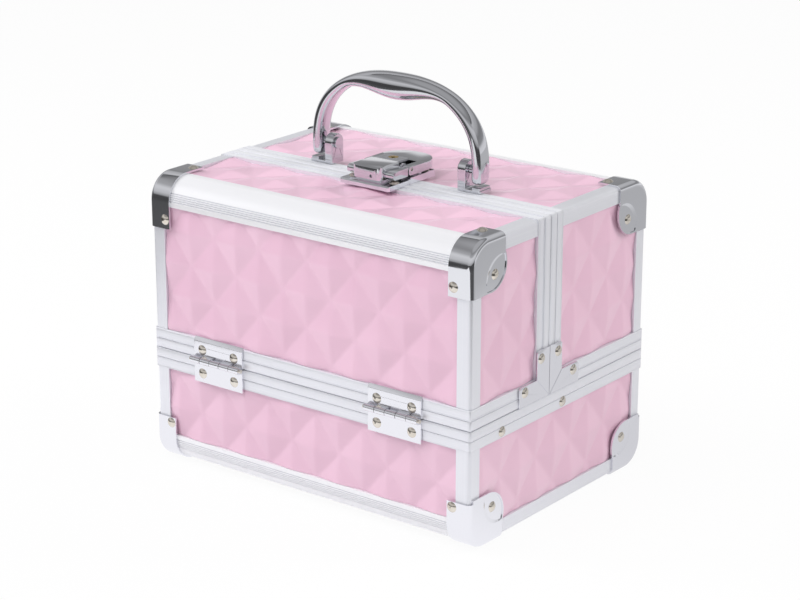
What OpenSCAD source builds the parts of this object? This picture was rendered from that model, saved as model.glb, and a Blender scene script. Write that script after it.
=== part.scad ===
// Makeup storage case with handle: an aluminium-framed train case.
// The base box carries two hinged lid halves that meet at a seam near the middle of the top.
// X runs along the case, +Y points to the rear and +Z up; the origin is the middle of its footprint.

/* [Case] */
// Length over the seam rails, left to right
case_w = 200; // [170:1:260]
// Depth over the seam rails, front to rear
case_d = 150; // [140:1:190]
// Height of the base from its lowest rail to the seam
base_h = 61; // [54:1:90]
// Height of the lids above the seam
lid_h = 91; // [88:1:120]
// Depth of the front lid at the top seam
front_lid_d = 64; // [58:1:70]
// Gap between the two lids and between lid and base
seam_gap = 0.4; // [0.2:0.05:0.6]

/* [Boards] */
// Thickness of the boards
board_t = 3.2; // [2.6:0.1:4]
// Width of one embossed diamond
diamond_w = 30; // [20:1:40]
// Height of one embossed diamond
diamond_h = 34; // [20:1:44]
// Height of a diamond's point over its valleys
relief_h = 1.6; // [0.6:0.1:1.6]
// Height of the valleys over the board
relief_foot = 0.1; // [0.1:0.05:0.3]
// Thickness of the black lining
liner_t = 0.8; // [0.5:0.1:1]

/* [Aluminium frame] */
// Height of a seam rail on the outside
rail_h = 10.3; // [9:0.1:12]
// Thickness of a seam rail's outer flange
rail_t = 2.2; // [2:0.1:3]
// Thickness of a rail's inner flange
rail_in_t = 1; // [0.8:0.1:1.2]
// Height of a seam rail's inner flange
rail_in_h = 8; // [6:0.1:9]
// Thickness of the web that the board's edge butts on
web_t = 1.5; // [1:0.1:2]
// How far the seam rails stand out past the other profiles
rail_proud = 0.5; // [0.3:0.1:0.8]
// Leg of the corner angles
angle_leg = 8; // [7:0.1:10]
// Outer radius of the corner angles
angle_r = 2; // [1:0.1:2.5]
// Outer radius of the large round profiles
round_r = 12.5; // [10:0.1:14]
// Leg of the large round profiles
round_leg = 14.5; // [14:0.1:18]
// Depth of the inner lip that holds a board in a round profile
round_lip = 5; // [3:0.1:7]

/* [Corner caps] */
// Thickness of a cap where it is raised
cap_t = 1; // [0.8:0.1:1.2]
// Thickness of the flat rivet land in a cap
land_t = 0.6; // [0.4:0.1:0.7]
// Width of a cap's front and top strap
cap_strap = 12.5; // [10:0.1:14]
// Height of the lid caps
lid_cap_h = 27; // [26:0.5:34]
// Height of the base caps
base_cap_h = 25; // [22:0.5:27]
// Length of a cap along the side
cap_len = 26.5; // [24:0.5:30]
// Radius of the round wing around the side rivet
wing_r = 12.3; // [10:0.1:13]
// Distance of the wing's middle from the front face
wing_y = 14.5; // [13:0.1:16]

/* [Rivets] */
// Radius of a rivet's head
head_r = 2.7; // [2:0.1:3]
// Height of a rivet's head
head_h = 1.3; // [0.8:0.1:1.8]
// Radius of a rivet's shank
shank_r = 1.5; // [1:0.1:1.8]
// Radial clearance of a rivet in its hole
rivet_fit = 0.05; // [0.03:0.01:0.1]

/* [Corner plates] */
// Leg of the mitred plates at the foot of the seam
plate_leg = 25; // [20:0.5:30]
// Thickness of the mitred plates
plate_t = 0.8; // [0.6:0.1:1]
// Distance of a plate's far rivets from the mitre
plate_rivet = 20.5; // [16:0.5:22]

/* [Hinges] */
// Width of a hinge
hinge_w = 32; // [26:1:38]
// Distance of a hinge's middle from the middle of the case
hinge_x = 56; // [46:1:64]
// Thickness of a hinge leaf
leaf_t = 1; // [0.8:0.1:1.2]
// Height of the lid's leaf above the seam
lid_leaf_h = 11.4; // [11:0.1:13]
// Depth of the base's leaf below the seam
base_leaf_h = 12.3; // [11.5:0.1:15]
// Distance of a hinge pin's middle in front of the case's face
hinge_out = 2.9; // [2.6:0.1:3.4]
// Radius of a hinge knuckle
knuckle_r = 1.8; // [1.6:0.1:2]
// Radius of a hinge pin
hinge_pin_r = 1; // [0.8:0.1:1.2]
// Running clearance of the lid's knuckles on the pin
hinge_fit = 0.06; // [0.03:0.01:0.1]
// Gap between knuckles
knuckle_gap = 0.3; // [0.2:0.05:0.5]
// Distance between the rivets of a leaf
leaf_rivet_pitch = 21; // [16:0.5:24]
// Height of the sloping lip at the top of a lid's leaf
lip_h = 1.9; // [1.2:0.1:2.2]
// Height of the lid leaf's rivets above the seam
leaf_rivet_up = 5; // [4.5:0.1:6]
// Depth of the base leaf's rivets below the seam
leaf_rivet_down = 7.5; // [6:0.1:9]

/* [Handle] */
// Half width over the handle's legs
handle_half_w = 53.4; // [46:0.1:60]
// Height of the handle above the top
handle_h = 52.5; // [46:0.5:60]
// Height above the top at which the legs start to curve
handle_leg_h = 12; // [11:0.5:16]
// Fullness of the arch: 2 is an ellipse, more is squarer
handle_n = 2.33; // [2:0.01:3]
// Half thickness of the arch at its shoulders
handle_tn = 2.8; // [2.6:0.1:4]
// Added half thickness at the middle of the grip
grip_tn = 3.9; // [1:0.1:4.5]
// Half depth of the legs
handle_ty = 5.2; // [4:0.1:6]
// Added half depth at the middle of the grip
grip_ty = 2.3; // [1:0.1:3]
// Half length of the thick grip
grip_half = 35; // [28:1:42]
// Height of the handle's pivots above the top
handle_pivot_h = 10.6; // [9:0.1:11]
// Radius of the handle's pins
handle_pin_r = 2; // [1.5:0.1:2.4]
// Distance of the handle's plane behind the top seam
handle_back = 11.4; // [10:0.1:16]
// Thickness of a bracket's boss
boss_t = 4.7; // [4:0.1:6]
// Depth of a bracket's boss, front to rear
boss_d = 9.4; // [8:0.1:10]
// Gap between a boss and the handle's leg
boss_gap = 2.5; // [1:0.1:4]
// Thickness of a bracket's foot
foot_t = 1.5; // [1:0.1:2]

/* [Latch] */
// Half width of the catch's foot plate
catch_half_w = 15.5; // [14:0.5:17]
// Depth of the catch's foot plate in front of the seam
catch_d = 16.8; // [15:0.1:20]
// Thickness of the catch's foot plate
catch_t = 2.5; // [1.5:0.1:2.6]
// Half width of the catch block
block_half_w = 9; // [7:0.1:9.2]
// Depth of the catch block in front of the seam
block_d = 15.3; // [12:0.1:15.3]
// Height of the block's underside above the top
block_z0 = 4; // [3.5:0.1:5]
// Height of the block's upper face above the top
block_z1 = 10.8; // [9.5:0.1:12]
// Half width of the lock's foot plate
lock_half_w = 15; // [14.6:0.1:17]
// Depth of the lock's foot plate behind the seam
lock_d = 22; // [19:0.5:25]
// Half width of the keyhole plate
key_half_w = 7.4; // [6:0.1:7.6]
// Depth of the keyhole plate behind the seam
key_d = 12.5; // [11:0.1:13]
// Distance of the keyhole behind the seam
key_y = 6.8; // [6:0.1:7.5]
// Radius of the brass lock cylinder
cylinder_r = 2.6; // [2:0.1:3]
// Half width of the lever over its arms
lever_half_w = 14.5; // [14:0.1:16]
// Inner half width of the lever between its arms
lever_in_w = 9.9; // [9.8:0.1:10.2]
// Reach of the lever behind the seam
lever_back = 28.5; // [26:0.5:31]
// Gap between the lever's tips and the seam
lever_gap = 0.5; // [0.4:0.1:0.8]
// Gap between the keyhole plate and the lever's rear plate
lever_key_gap = 0.5; // [0.4:0.1:1]
// Thickness of the lever
lever_t = 4.2; // [3.4:0.1:4.4]
// Reach of the catch's side lugs in front of the seam
lug_d = 12; // [8:0.5:13]
// Height of the lever's pivot above the top
lever_pivot_h = 7.2; // [6.8:0.1:8]
// Distance of the lever's pivot behind the seam
lever_pivot_y = 3; // [2.5:0.1:4]
// Radius of the lever's pins
lever_pin_r = 0.9; // [0.7:0.1:1]
// Thickness of an ear that carries the lever
ear_t = 1.2; // [1:0.1:1.4]

/* [Trays] */
// Height of a tray
tray_h = 20; // [16:1:21]
// Wall of a tray
tray_wall = 1.6; // [1.2:0.1:2.4]
// Floor of a tray
tray_floor = 1.6; // [1.2:0.1:2.4]
// Gap between the trays' ends and the inside of the side rails
tray_side_gap = 3.1; // [3:0.1:5]
// Distance of the trays' front edge behind the case's front face
tray_front = 18.5; // [17:0.5:22]
// Distance of the trays' rear edge from the case's rear face
tray_rear = 9; // [8:0.5:14]
// Height of a pivot above its tray's underside
tray_pivot_h = 5.5; // [5:0.1:8]
// Clearance between the lid's studs and its seam rail
link_gap = 0.9; // [0.6:0.1:2]
// Angle of the arms over the base with the case shut
arm_angle = 42; // [40:0.5:48]
// Width of a swing arm
arm_w = 9; // [7:0.1:10]
// Thickness of a swing arm
arm_t = 1.2; // [1:0.1:1.4]
// Distance of the front arms' pivots behind the case's front face
arm_front = 26; // [24:0.5:30]
// Distance of the rear arms' pivots from the upper tray's rear edge
arm_rear = 10; // [8:0.5:14]
// Depth of the arms' base pivots below the seam
arm_drop = 7.4; // [6.5:0.1:8]
// Number of compartments along the upper tray
upper_cells = 4; // [2:1:6]
// Number of compartments along the lower tray
lower_cells = 3; // [2:1:5]

/* [Mirror] */
// Length of the mirror
mirror_w = 130; // [90:1:140]
// Clearance between the mirror's frame and the profiles in front of and behind it
mirror_gap = 0.5; // [0.4:0.1:4]
// Thickness of the glass
mirror_t = 1.2; // [1:0.1:2]
// Width of the frame round the glass
mirror_rim = 4; // [3:0.5:6]

/* [Hidden] */
$fn = 48;
eps = 0.01;

// Planes of the case
half_w = case_w / 2;
half_d = case_d / 2;
z_base = cap_t;
z_seam = z_base + base_h;
z_top = z_seam + lid_h;
seam_y = -half_d + front_lid_d;
z_lid = z_seam + seam_gap / 2;
z_rim = z_seam - seam_gap / 2;
front_d = front_lid_d - seam_gap / 2;
rear_d = case_d - front_lid_d - seam_gap / 2;

// Profile depths measured inwards from the seam rails' outer face
angle_t = rail_t - rail_proud;
board_in = rail_t + board_t;
rail_in = board_in + rail_in_t;
panel_z = z_top - rail_t;
floor_z = z_base + angle_t;

// Small steps and gaps: corner radius and groove step of the rails, mitre, and room round a relief
rail_r = 1.8;
rail_step = 0.2;
mitre_gap = 0.05;
relief_gap = 0.3;

// Valley crossings of the embossing: beside the middle on each board, above and below the seam
lattice_x = 15;
lattice_lid_h = 47;
lattice_base_x = -10.5;
lattice_base_d = 31;
lattice_top_x = 15;
lattice_top_y = 9;
lattice_side_y = 12;

// Corner caps: outer faces, and places of their rivets from the corner
cap_x1 = half_w - rail_proud + cap_t;
cap_y0 = -half_d + rail_proud - cap_t;
cap_z1 = z_top - rail_proud + cap_t;
cap_rivet = wing_y + 4.2;
cap_rivet_h = 22.2;
cap_strap_x = cap_x1 - cap_strap + 2;
land_rim = 0.7;
plate_near = 7;

// Hinge line
hinge_y = -half_d - hinge_out;
knuckles = 5;
knuckle_w = hinge_w / knuckles;
web_foot = 0.5;

// Swing arms, side view: y and z of the pivots with the case shut
// The lid's stud goes as far back as its seam rail lets it.
arm_gap = 0.6;
arm_play = 0.1;
pin_head_t = 0.7;
stud_head_r = 2 * shank_r + 1;
tray_y0 = -half_d + tray_front;
tray_y1 = half_d - tray_rear;
arm_dy = seam_y - seam_gap / 2 - rail_in_h - link_gap - stud_head_r - hinge_y;
arm_len = arm_dy / cos(arm_angle);
arm_dz = arm_len * sin(arm_angle);
arm_y1 = -half_d + arm_front;
arm_y2 = tray_y1 - arm_rear - arm_dy;
arm_z = z_seam - arm_drop;
tray_half_w = half_w - rail_in - tray_side_gap;
arm_x = tray_half_w + arm_gap;
link_y = hinge_y + arm_dy;
link_z = z_seam + arm_dz;
upper_z = arm_z + arm_dz - tray_pivot_h;
lower_z = arm_z + arm_dz / 2 - tray_pivot_h;

mirror_y0 = seam_y + seam_gap / 2 + rail_in_h + mirror_gap + mirror_rim;
mirror_y1 = half_d - rail_proud - round_r - round_lip - mirror_gap - mirror_rim;
mirror_h = mirror_y1 - mirror_y0;
mirror_y = (mirror_y0 + mirror_y1) / 2;

// Handle
handle_y = seam_y + handle_back;
handle_pivot_z = z_top + handle_pivot_h;
leg_tn = handle_tn + 0.5;
leg_blend = 20;
leg_in_x = handle_half_w - 2 * leg_tn;
boss_x1 = leg_in_x - boss_gap;
boss_x0 = boss_x1 - boss_t;

// Colours
pink = [0.93, 0.72, 0.82];
silver = [0.84, 0.85, 0.88];
chrome = [0.66, 0.67, 0.7];
steel = [0.75, 0.75, 0.74];
black = [0.12, 0.12, 0.13];

// ---- Helpers ----

module both_sides() {
    children();
    mirror([1, 0, 0]) children();
}

module both_ends() {
    children();
    mirror([0, 1, 0]) children();
}

// Turns a flat outline drawn in Y and Z into a plate that grows along +X from x
module side_plate(x, t) {
    translate([x, 0, 0]) rotate([90, 0, 90]) linear_extrude(t) children();
}

// Turns a flat outline drawn in X and Z into a plate that grows along +Y from y
module front_plate(y, t) {
    translate([0, y + t, 0]) rotate([90, 0, 0]) linear_extrude(t) children();
}

// A box given by its two corners
module box(a, b) {
    translate(a) cube(b - a);
}

// A bar along X, centred on x, with its axis at y and z
module x_pin(x0, x1, y, z, r) {
    translate([x0, y, z]) rotate([0, 90, 0]) cylinder(r = r, h = x1 - x0);
}

module round_rect(w, d, r) {
    square([w - 2 * r, d], center = true);
    square([w, d - 2 * r], center = true);
    for (sx = [-1, 1], sy = [-1, 1])
        translate([sx * (w / 2 - r), sy * (d / 2 - r)]) circle(r);
}

// Rivet along +Z: a shallow dome on the surface z = 0, with a shank of the given depth
module rivet(depth) {
    dome_r = (head_r * head_r + head_h * head_h) / (2 * head_h);
    rotate_extrude($fn = 32)
        intersection() {
            translate([0, head_h - dome_r]) circle(dome_r, $fn = 96);
            square([head_r + 1, head_h + 1]);
        }
    translate([0, 0, -depth]) cylinder(r = shank_r, h = depth + eps, $fn = 24);
}

module rivet_hole(depth) {
    translate([0, 0, -depth - 1]) cylinder(r = shank_r + rivet_fit, h = depth + 2, $fn = 24);
}

// Places a child that stands along +Z on the right side face, the front face or the top
module on_side(x, y, z) {
    translate([x, y, z]) rotate([0, 90, 0]) children();
}

module on_front(x, y, z) {
    translate([x, y, z]) rotate([90, 0, 0]) children();
}

// ---- Embossed boards ----

// Diamond relief over the window u0..u1 by v0..v1 of the XY plane, with its valleys at
// relief_foot.
// Grid points lie half a diamond apart, counted from a valley crossing at ou, ov: points whose
// counts add up to an odd number are peaks, the others are crossings. Whole cells are drawn,
// each folded along its valley, and the window cuts them.
module relief(u0, u1, v0, v1, ou, ov) {
    a = diamond_w / 2;
    b = diamond_h / 2;
    i0 = floor((u0 - ou) / a);
    i1 = ceil((u1 - ou) / a);
    j0 = floor((v0 - ov) / b);
    j1 = ceil((v1 - ov) / b);
    nu = i1 - i0 + 1;
    nv = j1 - j0 + 1;
    f = nu * nv;
    sink = 0.4;
    grid = [for (j = [j0:j1]) for (i = [i0:i1])
        [ou + i * a, ov + j * b, relief_foot + abs((i + j) % 2) * relief_h]];
    under = [for (p = grid) [p[0], p[1], -1]];
    folded = [for (j = [0:nv - 2]) for (i = [0:nu - 2])
        let (c = j * nu + i)
        each (abs((i + i0 + j + j0) % 2) == 0
            ? [[c, c + nu + 1, c + 1], [c, c + nu, c + nu + 1]]
            : [[c, c + nu, c + 1], [c + 1, c + nu, c + nu + 1]])];
    floor_faces = [for (j = [0:nv - 2]) for (i = [0:nu - 2])
        let (c = f + j * nu + i) [c, c + 1, c + nu + 1, c + nu]];
    rim = concat([for (i = [0:nu - 2]) i], [for (j = [0:nv - 2]) j * nu + nu - 1],
        [for (i = [nu - 1:-1:1]) f - nu + i], [for (j = [nv - 1:-1:1]) j * nu]);
    walls = [for (k = [0:len(rim) - 1])
        let (p = rim[k], q = rim[(k + 1) % len(rim)]) [p, q, f + q, f + p]];
    intersection() {
        polyhedron(concat(grid, under), concat(folded, floor_faces, walls));
        box([u0, v0, -sink], [u1, v1, relief_foot + relief_h + 1]);
    }
}

// Relief that stands out of the front face, of the right side face or of the top
module front_relief(x0, x1, z0, z1, ox, oz) {
    translate([0, -half_d + rail_t, 0]) rotate([90, 0, 0]) relief(x0, x1, z0, z1, ox, oz);
}

module side_relief(y0, y1, z0, z1, oy, oz) {
    translate([half_w - rail_t, 0, 0]) rotate([90, 0, 90]) relief(y0, y1, z0, z1, oy, oz);
}

module top_relief(x0, x1, y0, y1, ox, oy) {
    translate([0, 0, panel_z]) relief(x0, x1, y0, y1, ox, oy);
}

// Shapes of the board windows: beside the posts, the seam rails and the round profiles
post_in = rail_proud + angle_leg + relief_gap;
rail_edge = rail_h + relief_gap;
round_edge = rail_proud + round_leg + relief_gap;

// Front board of the front lid; mirrored front to rear it is the rear board of the rear lid
module lid_face_panel() {
    color(pink) {
        box([-half_w + rail_t, -half_d + rail_t, z_lid + web_t],
            [half_w - rail_t, -half_d + board_in, z_top - rail_proud - round_r]);
        front_relief(-half_w + post_in, half_w - post_in, z_lid + rail_edge, z_top - round_edge,
            lattice_x, z_seam + lattice_lid_h);
    }
}

module lid_top_panel(d, oy) {
    color(pink) {
        box([-half_w + rail_t, -half_d + rail_proud + round_r, z_top - board_in],
            [half_w - rail_t, -half_d + d - web_t, panel_z]);
        top_relief(-half_w + post_in, half_w - post_in, -half_d + round_edge,
            -half_d + d - rail_edge, lattice_top_x, oy);
    }
}

module lid_side_panels(d, oy) {
    color(pink) both_sides() {
        box([half_w - board_in, -half_d + board_in, z_lid + web_t],
            [half_w - rail_t, -half_d + d - web_t, z_top - board_in]);
        side_relief(-half_d + post_in, -half_d + d - rail_edge, z_lid + rail_edge, z_top - post_in,
            oy, z_seam + lattice_lid_h);
    }
}

module base_face_panel() {
    color(pink) {
        box([-half_w + rail_t, -half_d + rail_t, z_base + round_r],
            [half_w - rail_t, -half_d + board_in, z_rim - web_t]);
        front_relief(-half_w + post_in, half_w - post_in, z_base + round_leg + relief_gap,
            z_rim - rail_edge, lattice_base_x, z_seam - lattice_base_d);
    }
}

module base_front_panel() {
    base_face_panel();
}

module base_rear_panel() {
    mirror([0, 1, 0]) base_face_panel();
}

module base_side_panels() {
    color(pink) both_sides() difference() {
        union() {
            box([half_w - board_in, -half_d + board_in, floor_z + board_t],
                [half_w - rail_t, half_d - board_in, z_rim - web_t]);
            side_relief(-half_d + post_in, half_d - post_in, z_base + angle_leg + relief_gap,
                z_rim - rail_edge, lattice_side_y, z_seam - lattice_base_d);
        }
        arm_rivet_holes();
    }
}

module base_floor_panel() {
    color(black)
        box([-half_w + rail_t, -half_d + rail_proud + round_r, floor_z],
            [half_w - rail_t, half_d - rail_proud - round_r, floor_z + board_t]);
}

module front_lid_front_panel() {
    lid_face_panel();
}

module rear_lid_rear_panel() {
    mirror([0, 1, 0]) lid_face_panel();
}

module front_lid_top_panel() {
    lid_top_panel(front_d, lattice_top_y);
}

module rear_lid_top_panel() {
    mirror([0, 1, 0]) lid_top_panel(rear_d, -lattice_top_y);
}

module front_lid_side_panels() {
    lid_side_panels(front_d, lattice_side_y);
}

module rear_lid_side_panels() {
    mirror([0, 1, 0]) lid_side_panels(rear_d, -lattice_side_y);
}

// ---- Aluminium profiles, drawn as cross-sections ----

// Seam rail: x runs inwards from its outer face, y away from the seam. Past a fine groove its
// outer face steps in.
module rail_section() {
    groove = 2 * rail_step;
    bead_v = rail_h * 0.46;
    difference() {
        union() {
            square([rail_t, rail_h]);
            square([rail_in, web_t]);
            translate([board_in, 0]) square([rail_in_t, rail_in_h]);
        }
        translate([-1, bead_v]) square([1 + groove, groove]);
        translate([-1, bead_v + 2 * groove]) square([1 + rail_step, rail_h]);
        rotate(45) square(groove, center = true);
    }
}

// Corner angle: its outer corner at the origin, legs along +x and +y
module angle_section() {
    difference() {
        square(angle_leg);
        translate([angle_t, angle_t]) square(angle_leg);
        difference() {
            translate([-1, -1]) square(angle_r + 1);
            translate([angle_r, angle_r]) circle(angle_r);
        }
    }
}

// Square outline from the corner at t, t with that corner rounded about the profile's centre
module rounded_corner(t, size) {
    difference() {
        translate([t, t]) square(size);
        difference() {
            translate([t - 1, t - 1]) square(round_r - t + 1);
            translate([round_r, round_r]) circle(round_r - t, $fn = 96);
        }
    }
}

// Round profile: its virtual outer corner at the origin, with a slot for a board on each leg
module round_section() {
    in0 = angle_t + board_t;
    in1 = in0 + rail_in_t;
    rib = 0.3;
    difference() {
        union() {
            difference() {
                rounded_corner(0, round_leg);
                rounded_corner(angle_t, round_leg);
            }
            // Webs and inner lips of the two slots, joined by a sloping wall
            polygon([[angle_t / 2, round_r - rail_in_t], [in0, round_r - rail_in_t],
                [round_r - rail_in_t, in0], [round_r - rail_in_t, angle_t / 2],
                [round_r, angle_t / 2], [round_r, in0], [round_r + round_lip, in0],
                [round_r + round_lip, in1], [round_r, in1], [in1, round_r],
                [in1, round_r + round_lip], [in0, round_r + round_lip], [in0, round_r],
                [angle_t / 2, round_r]]);
        }
        // Fine ribs on the face leg
        for (a = [3:5:23])
            translate([round_r - round_r * cos(a), round_r - round_r * sin(a)])
                circle(rib, $fn = 16);
    }
}

// Seam rail of the front edge with its web on the plane z; dir is 1 when it stands up from it.
// Its ends are mitred to the side rails.
module front_rail(z, dir) {
    c = rail_in + 0.2;
    intersection() {
        translate([-half_w, -half_d, z]) rotate([90, 0, 90]) linear_extrude(case_w)
            mirror([0, dir < 0 ? 1 : 0]) rail_section();
        translate([0, 0, z - 2 * rail_h]) linear_extrude(4 * rail_h) intersection() {
            polygon([[-half_w + mitre_gap, -half_d], [half_w - mitre_gap, -half_d],
                [half_w - c - mitre_gap, -half_d + c], [-half_w + c + mitre_gap, -half_d + c]]);
            round_rect(case_w, case_d, rail_r);
        }
    }
}

// Right-hand seam rail on the plane z from the front edge to y1, mitred at the front
module side_rail(z, dir, y1) {
    c = rail_in + 0.2;
    intersection() {
        translate([half_w, y1, z]) rotate([90, 0, 0]) linear_extrude(y1 + half_d)
            rotate(180) mirror([0, dir < 0 ? 0 : 1]) rail_section();
        translate([0, 0, z - 2 * rail_h]) linear_extrude(4 * rail_h) intersection() {
            polygon([[half_w, -half_d], [half_w, y1], [half_w - c, y1], [half_w - c, -half_d + c]]);
            round_rect(case_w, case_d, rail_r);
        }
    }
}

module base_seam_rails() {
    color(silver) {
        both_ends() front_rail(z_rim, -1);
        both_sides() difference() {
            intersection() {
                side_rail(z_rim, -1, half_d);
                mirror([0, 1, 0]) side_rail(z_rim, -1, half_d);
            }
            arm_rivet_holes();
            for (y = [arm_y1, arm_y2]) x_pin(half_w - rail_step, half_w + 1, y, arm_z, head_r + 0.1);
        }
    }
}

// Lid rails that lie on the seam with the base: one at the front and one at each side
module lid_bottom_rails(d) {
    y1 = -half_d + d;
    c = rail_h + 0.2;
    color(silver) {
        front_rail(z_lid, 1);
        both_sides() intersection() {
            side_rail(z_lid, 1, y1);
            side_plate(0, half_w + 1) polygon([[-half_d - 1, z_lid], [y1 - mitre_gap, z_lid],
                [y1 - c - mitre_gap, z_lid + c], [-half_d - 1, z_lid + c]]);
        }
    }
}

// Lid rails round the seam between the two lids: one over the top and one down each side
module lid_seam_rails(d) {
    y1 = -half_d + d;
    c = rail_h + 0.2;
    m = rail_in + 0.2;
    color(silver) {
        intersection() {
            translate([-half_w, y1, z_top]) rotate([90, 0, 90]) linear_extrude(case_w)
                rotate(-90) mirror([0, 1]) rail_section();
            front_plate(y1 - c, c) intersection() {
                polygon([[-half_w + mitre_gap, z_top], [half_w - mitre_gap, z_top],
                    [half_w - m - mitre_gap, z_top - m], [-half_w + m + mitre_gap, z_top - m]]);
                translate([0, z_top - half_w]) round_rect(case_w, case_w, rail_r);
            }
        }
        both_sides() intersection() {
            translate([half_w, y1, z_lid]) linear_extrude(z_top - z_lid)
                rotate(180) rail_section();
            side_plate(0, half_w + 1) polygon([[y1, z_lid], [y1, z_top], [y1 - c, z_top],
                [y1 - c, z_lid + c]]);
            front_plate(y1 - c, c) intersection() {
                polygon([[half_w, z_lid], [half_w, z_top], [half_w - m, z_top - m],
                    [half_w - m, z_lid]]);
                translate([0, z_top - half_w]) round_rect(case_w, case_w, rail_r);
            }
        }
    }
}

module lid_corner_posts() {
    color(silver) both_sides()
        translate([-half_w + rail_proud, -half_d + rail_proud, z_lid + rail_h])
            linear_extrude(z_top - rail_proud - round_r - z_lid - rail_h) angle_section();
}

module lid_side_rails(d) {
    y0 = -half_d + rail_proud + round_r;
    y1 = -half_d + d - rail_h;
    color(silver) both_sides()
        translate([half_w - rail_proud, y1, z_top - rail_proud]) rotate([90, 0, 0])
            linear_extrude(y1 - y0) rotate(180) angle_section();
}

module lid_round_rail() {
    x1 = half_w - rail_proud - angle_leg;
    color(silver) translate([-x1, -half_d + rail_proud, z_top - rail_proud])
        rotate([90, 0, 90]) linear_extrude(2 * x1) mirror([0, 1]) round_section();
}

module base_corner_posts() {
    color(silver) both_sides() both_ends()
        translate([-half_w + rail_proud, -half_d + rail_proud, z_base + round_r])
            linear_extrude(z_rim - rail_h - z_base - round_r) angle_section();
}

module base_round_rails() {
    x1 = half_w - rail_proud - angle_leg;
    color(silver) both_ends() translate([-x1, -half_d + rail_proud, z_base])
        rotate([90, 0, 90]) linear_extrude(2 * x1) round_section();
}

module base_side_rails() {
    y1 = half_d - rail_proud - round_r;
    color(silver) both_sides() translate([half_w - rail_proud, y1, z_base]) rotate([90, 0, 0])
        linear_extrude(2 * y1) mirror([1, 0]) angle_section();
}

module front_lid_bottom_rails() {
    lid_bottom_rails(front_d);
}

module rear_lid_bottom_rails() {
    mirror([0, 1, 0]) lid_bottom_rails(rear_d);
}

module front_lid_seam_rails() {
    lid_seam_rails(front_d);
}

module rear_lid_seam_rails() {
    mirror([0, 1, 0]) lid_seam_rails(rear_d);
}

module front_lid_corner_posts() {
    lid_corner_posts();
}

module rear_lid_corner_posts() {
    mirror([0, 1, 0]) lid_corner_posts();
}

module front_lid_round_rail() {
    lid_round_rail();
}

module rear_lid_round_rail() {
    mirror([0, 1, 0]) lid_round_rail();
}

module front_lid_side_rails() {
    lid_side_rails(front_d);
}

module rear_lid_side_rails() {
    mirror([0, 1, 0]) lid_side_rails(rear_d);
}

// ---- Corner caps ----

// L-shaped section of a pressed cap: x as in the case, y inwards from the outer face
module cap_section() {
    r = angle_r + cap_t;
    difference() {
        union() {
            translate([cap_x1 - cap_strap - cap_t, 0]) square([cap_strap + cap_t - r, r]);
            intersection() {
                translate([cap_x1 - r, r]) circle(r);
                translate([cap_x1 - r - eps, 0]) square(r + eps);
            }
        }
        translate([0, cap_t]) square([cap_x1 - r + eps, r]);
        translate([cap_x1 - r, r]) circle(angle_r);
    }
}

// Outline of the side plate, in distances from the cap's outer front and top faces
module cap_side_outline(h) {
    r = round_r + cap_t;
    in = angle_r + cap_t - 2 * eps;
    intersection() {
        union() {
            square([angle_leg + cap_t, h]);
            square([wing_y + cap_t, wing_y + wing_r]);
            square([cap_len, angle_leg + cap_t]);
            translate([wing_y + cap_t, wing_y]) circle(wing_r, $fn = 96);
        }
        union() {
            translate([r, r]) circle(r - in, $fn = 96);
            translate([in, r]) square(2 * h);
            translate([r, in]) square(2 * cap_len);
        }
    }
}

// Cap of the front right corner under the plane z = 0, h high; top says if its upper strap has
// a rivet
module cap(h, top) {
    r = round_r + cap_t;
    difference() {
        union() {
            translate([0, cap_y0, -h]) linear_extrude(h - r) cap_section();
            translate([0, cap_y0 + r, -r]) rotate([0, 90, 0]) rotate([0, 0, 180])
                rotate_extrude(angle = 90, $fn = 96) translate([r, 0]) rotate(90) cap_section();
            translate([0, cap_y0 + cap_len, 0]) rotate([90, 0, 0]) linear_extrude(cap_len - r)
                mirror([0, 1]) cap_section();
            side_plate(cap_x1 - cap_t, cap_t) translate([cap_y0, 0]) mirror([0, 1])
                cap_side_outline(h);
        }
        // Land for the side rivet, bounded by an arc that is hollow towards the rivet
        side_plate(cap_x1 - cap_t + land_t, cap_t) translate([cap_y0, 0]) mirror([0, 1])
            intersection() {
                union() {
                    translate([wing_y + cap_t, wing_y]) circle(wing_r - land_rim, $fn = 96);
                    square([wing_y + cap_t, wing_y + wing_r - land_rim]);
                }
                translate([cap_rivet + 4.3, cap_rivet + 2.6]) circle(wing_r - 0.6, $fn = 96);
            }
        on_side(cap_x1, cap_y0 + cap_rivet, -cap_rivet) rivet_hole(cap_t);
        on_front(cap_strap_x, cap_y0, -cap_rivet_h) rivet_hole(cap_t);
        if (top) translate([cap_strap_x, cap_y0 + cap_rivet_h, 0]) rivet_hole(cap_t);
    }
}

module cap_rivets(top) {
    on_side(cap_x1 - cap_t + land_t, cap_y0 + cap_rivet, -cap_rivet) rivet(land_t);
    on_front(cap_strap_x, cap_y0, -cap_rivet_h) rivet(cap_t);
    if (top) translate([cap_strap_x, cap_y0 + cap_rivet_h, 0]) rivet(cap_t);
}

module lid_caps() {
    color(silver) both_sides() translate([0, 0, cap_z1]) cap(lid_cap_h, true);
}

module front_lid_corner_caps() {
    lid_caps();
}

module rear_lid_corner_caps() {
    mirror([0, 1, 0]) lid_caps();
}

module base_corner_caps() {
    color(silver) both_sides() both_ends() mirror([0, 0, 1]) cap(base_cap_h, false);
}

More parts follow.
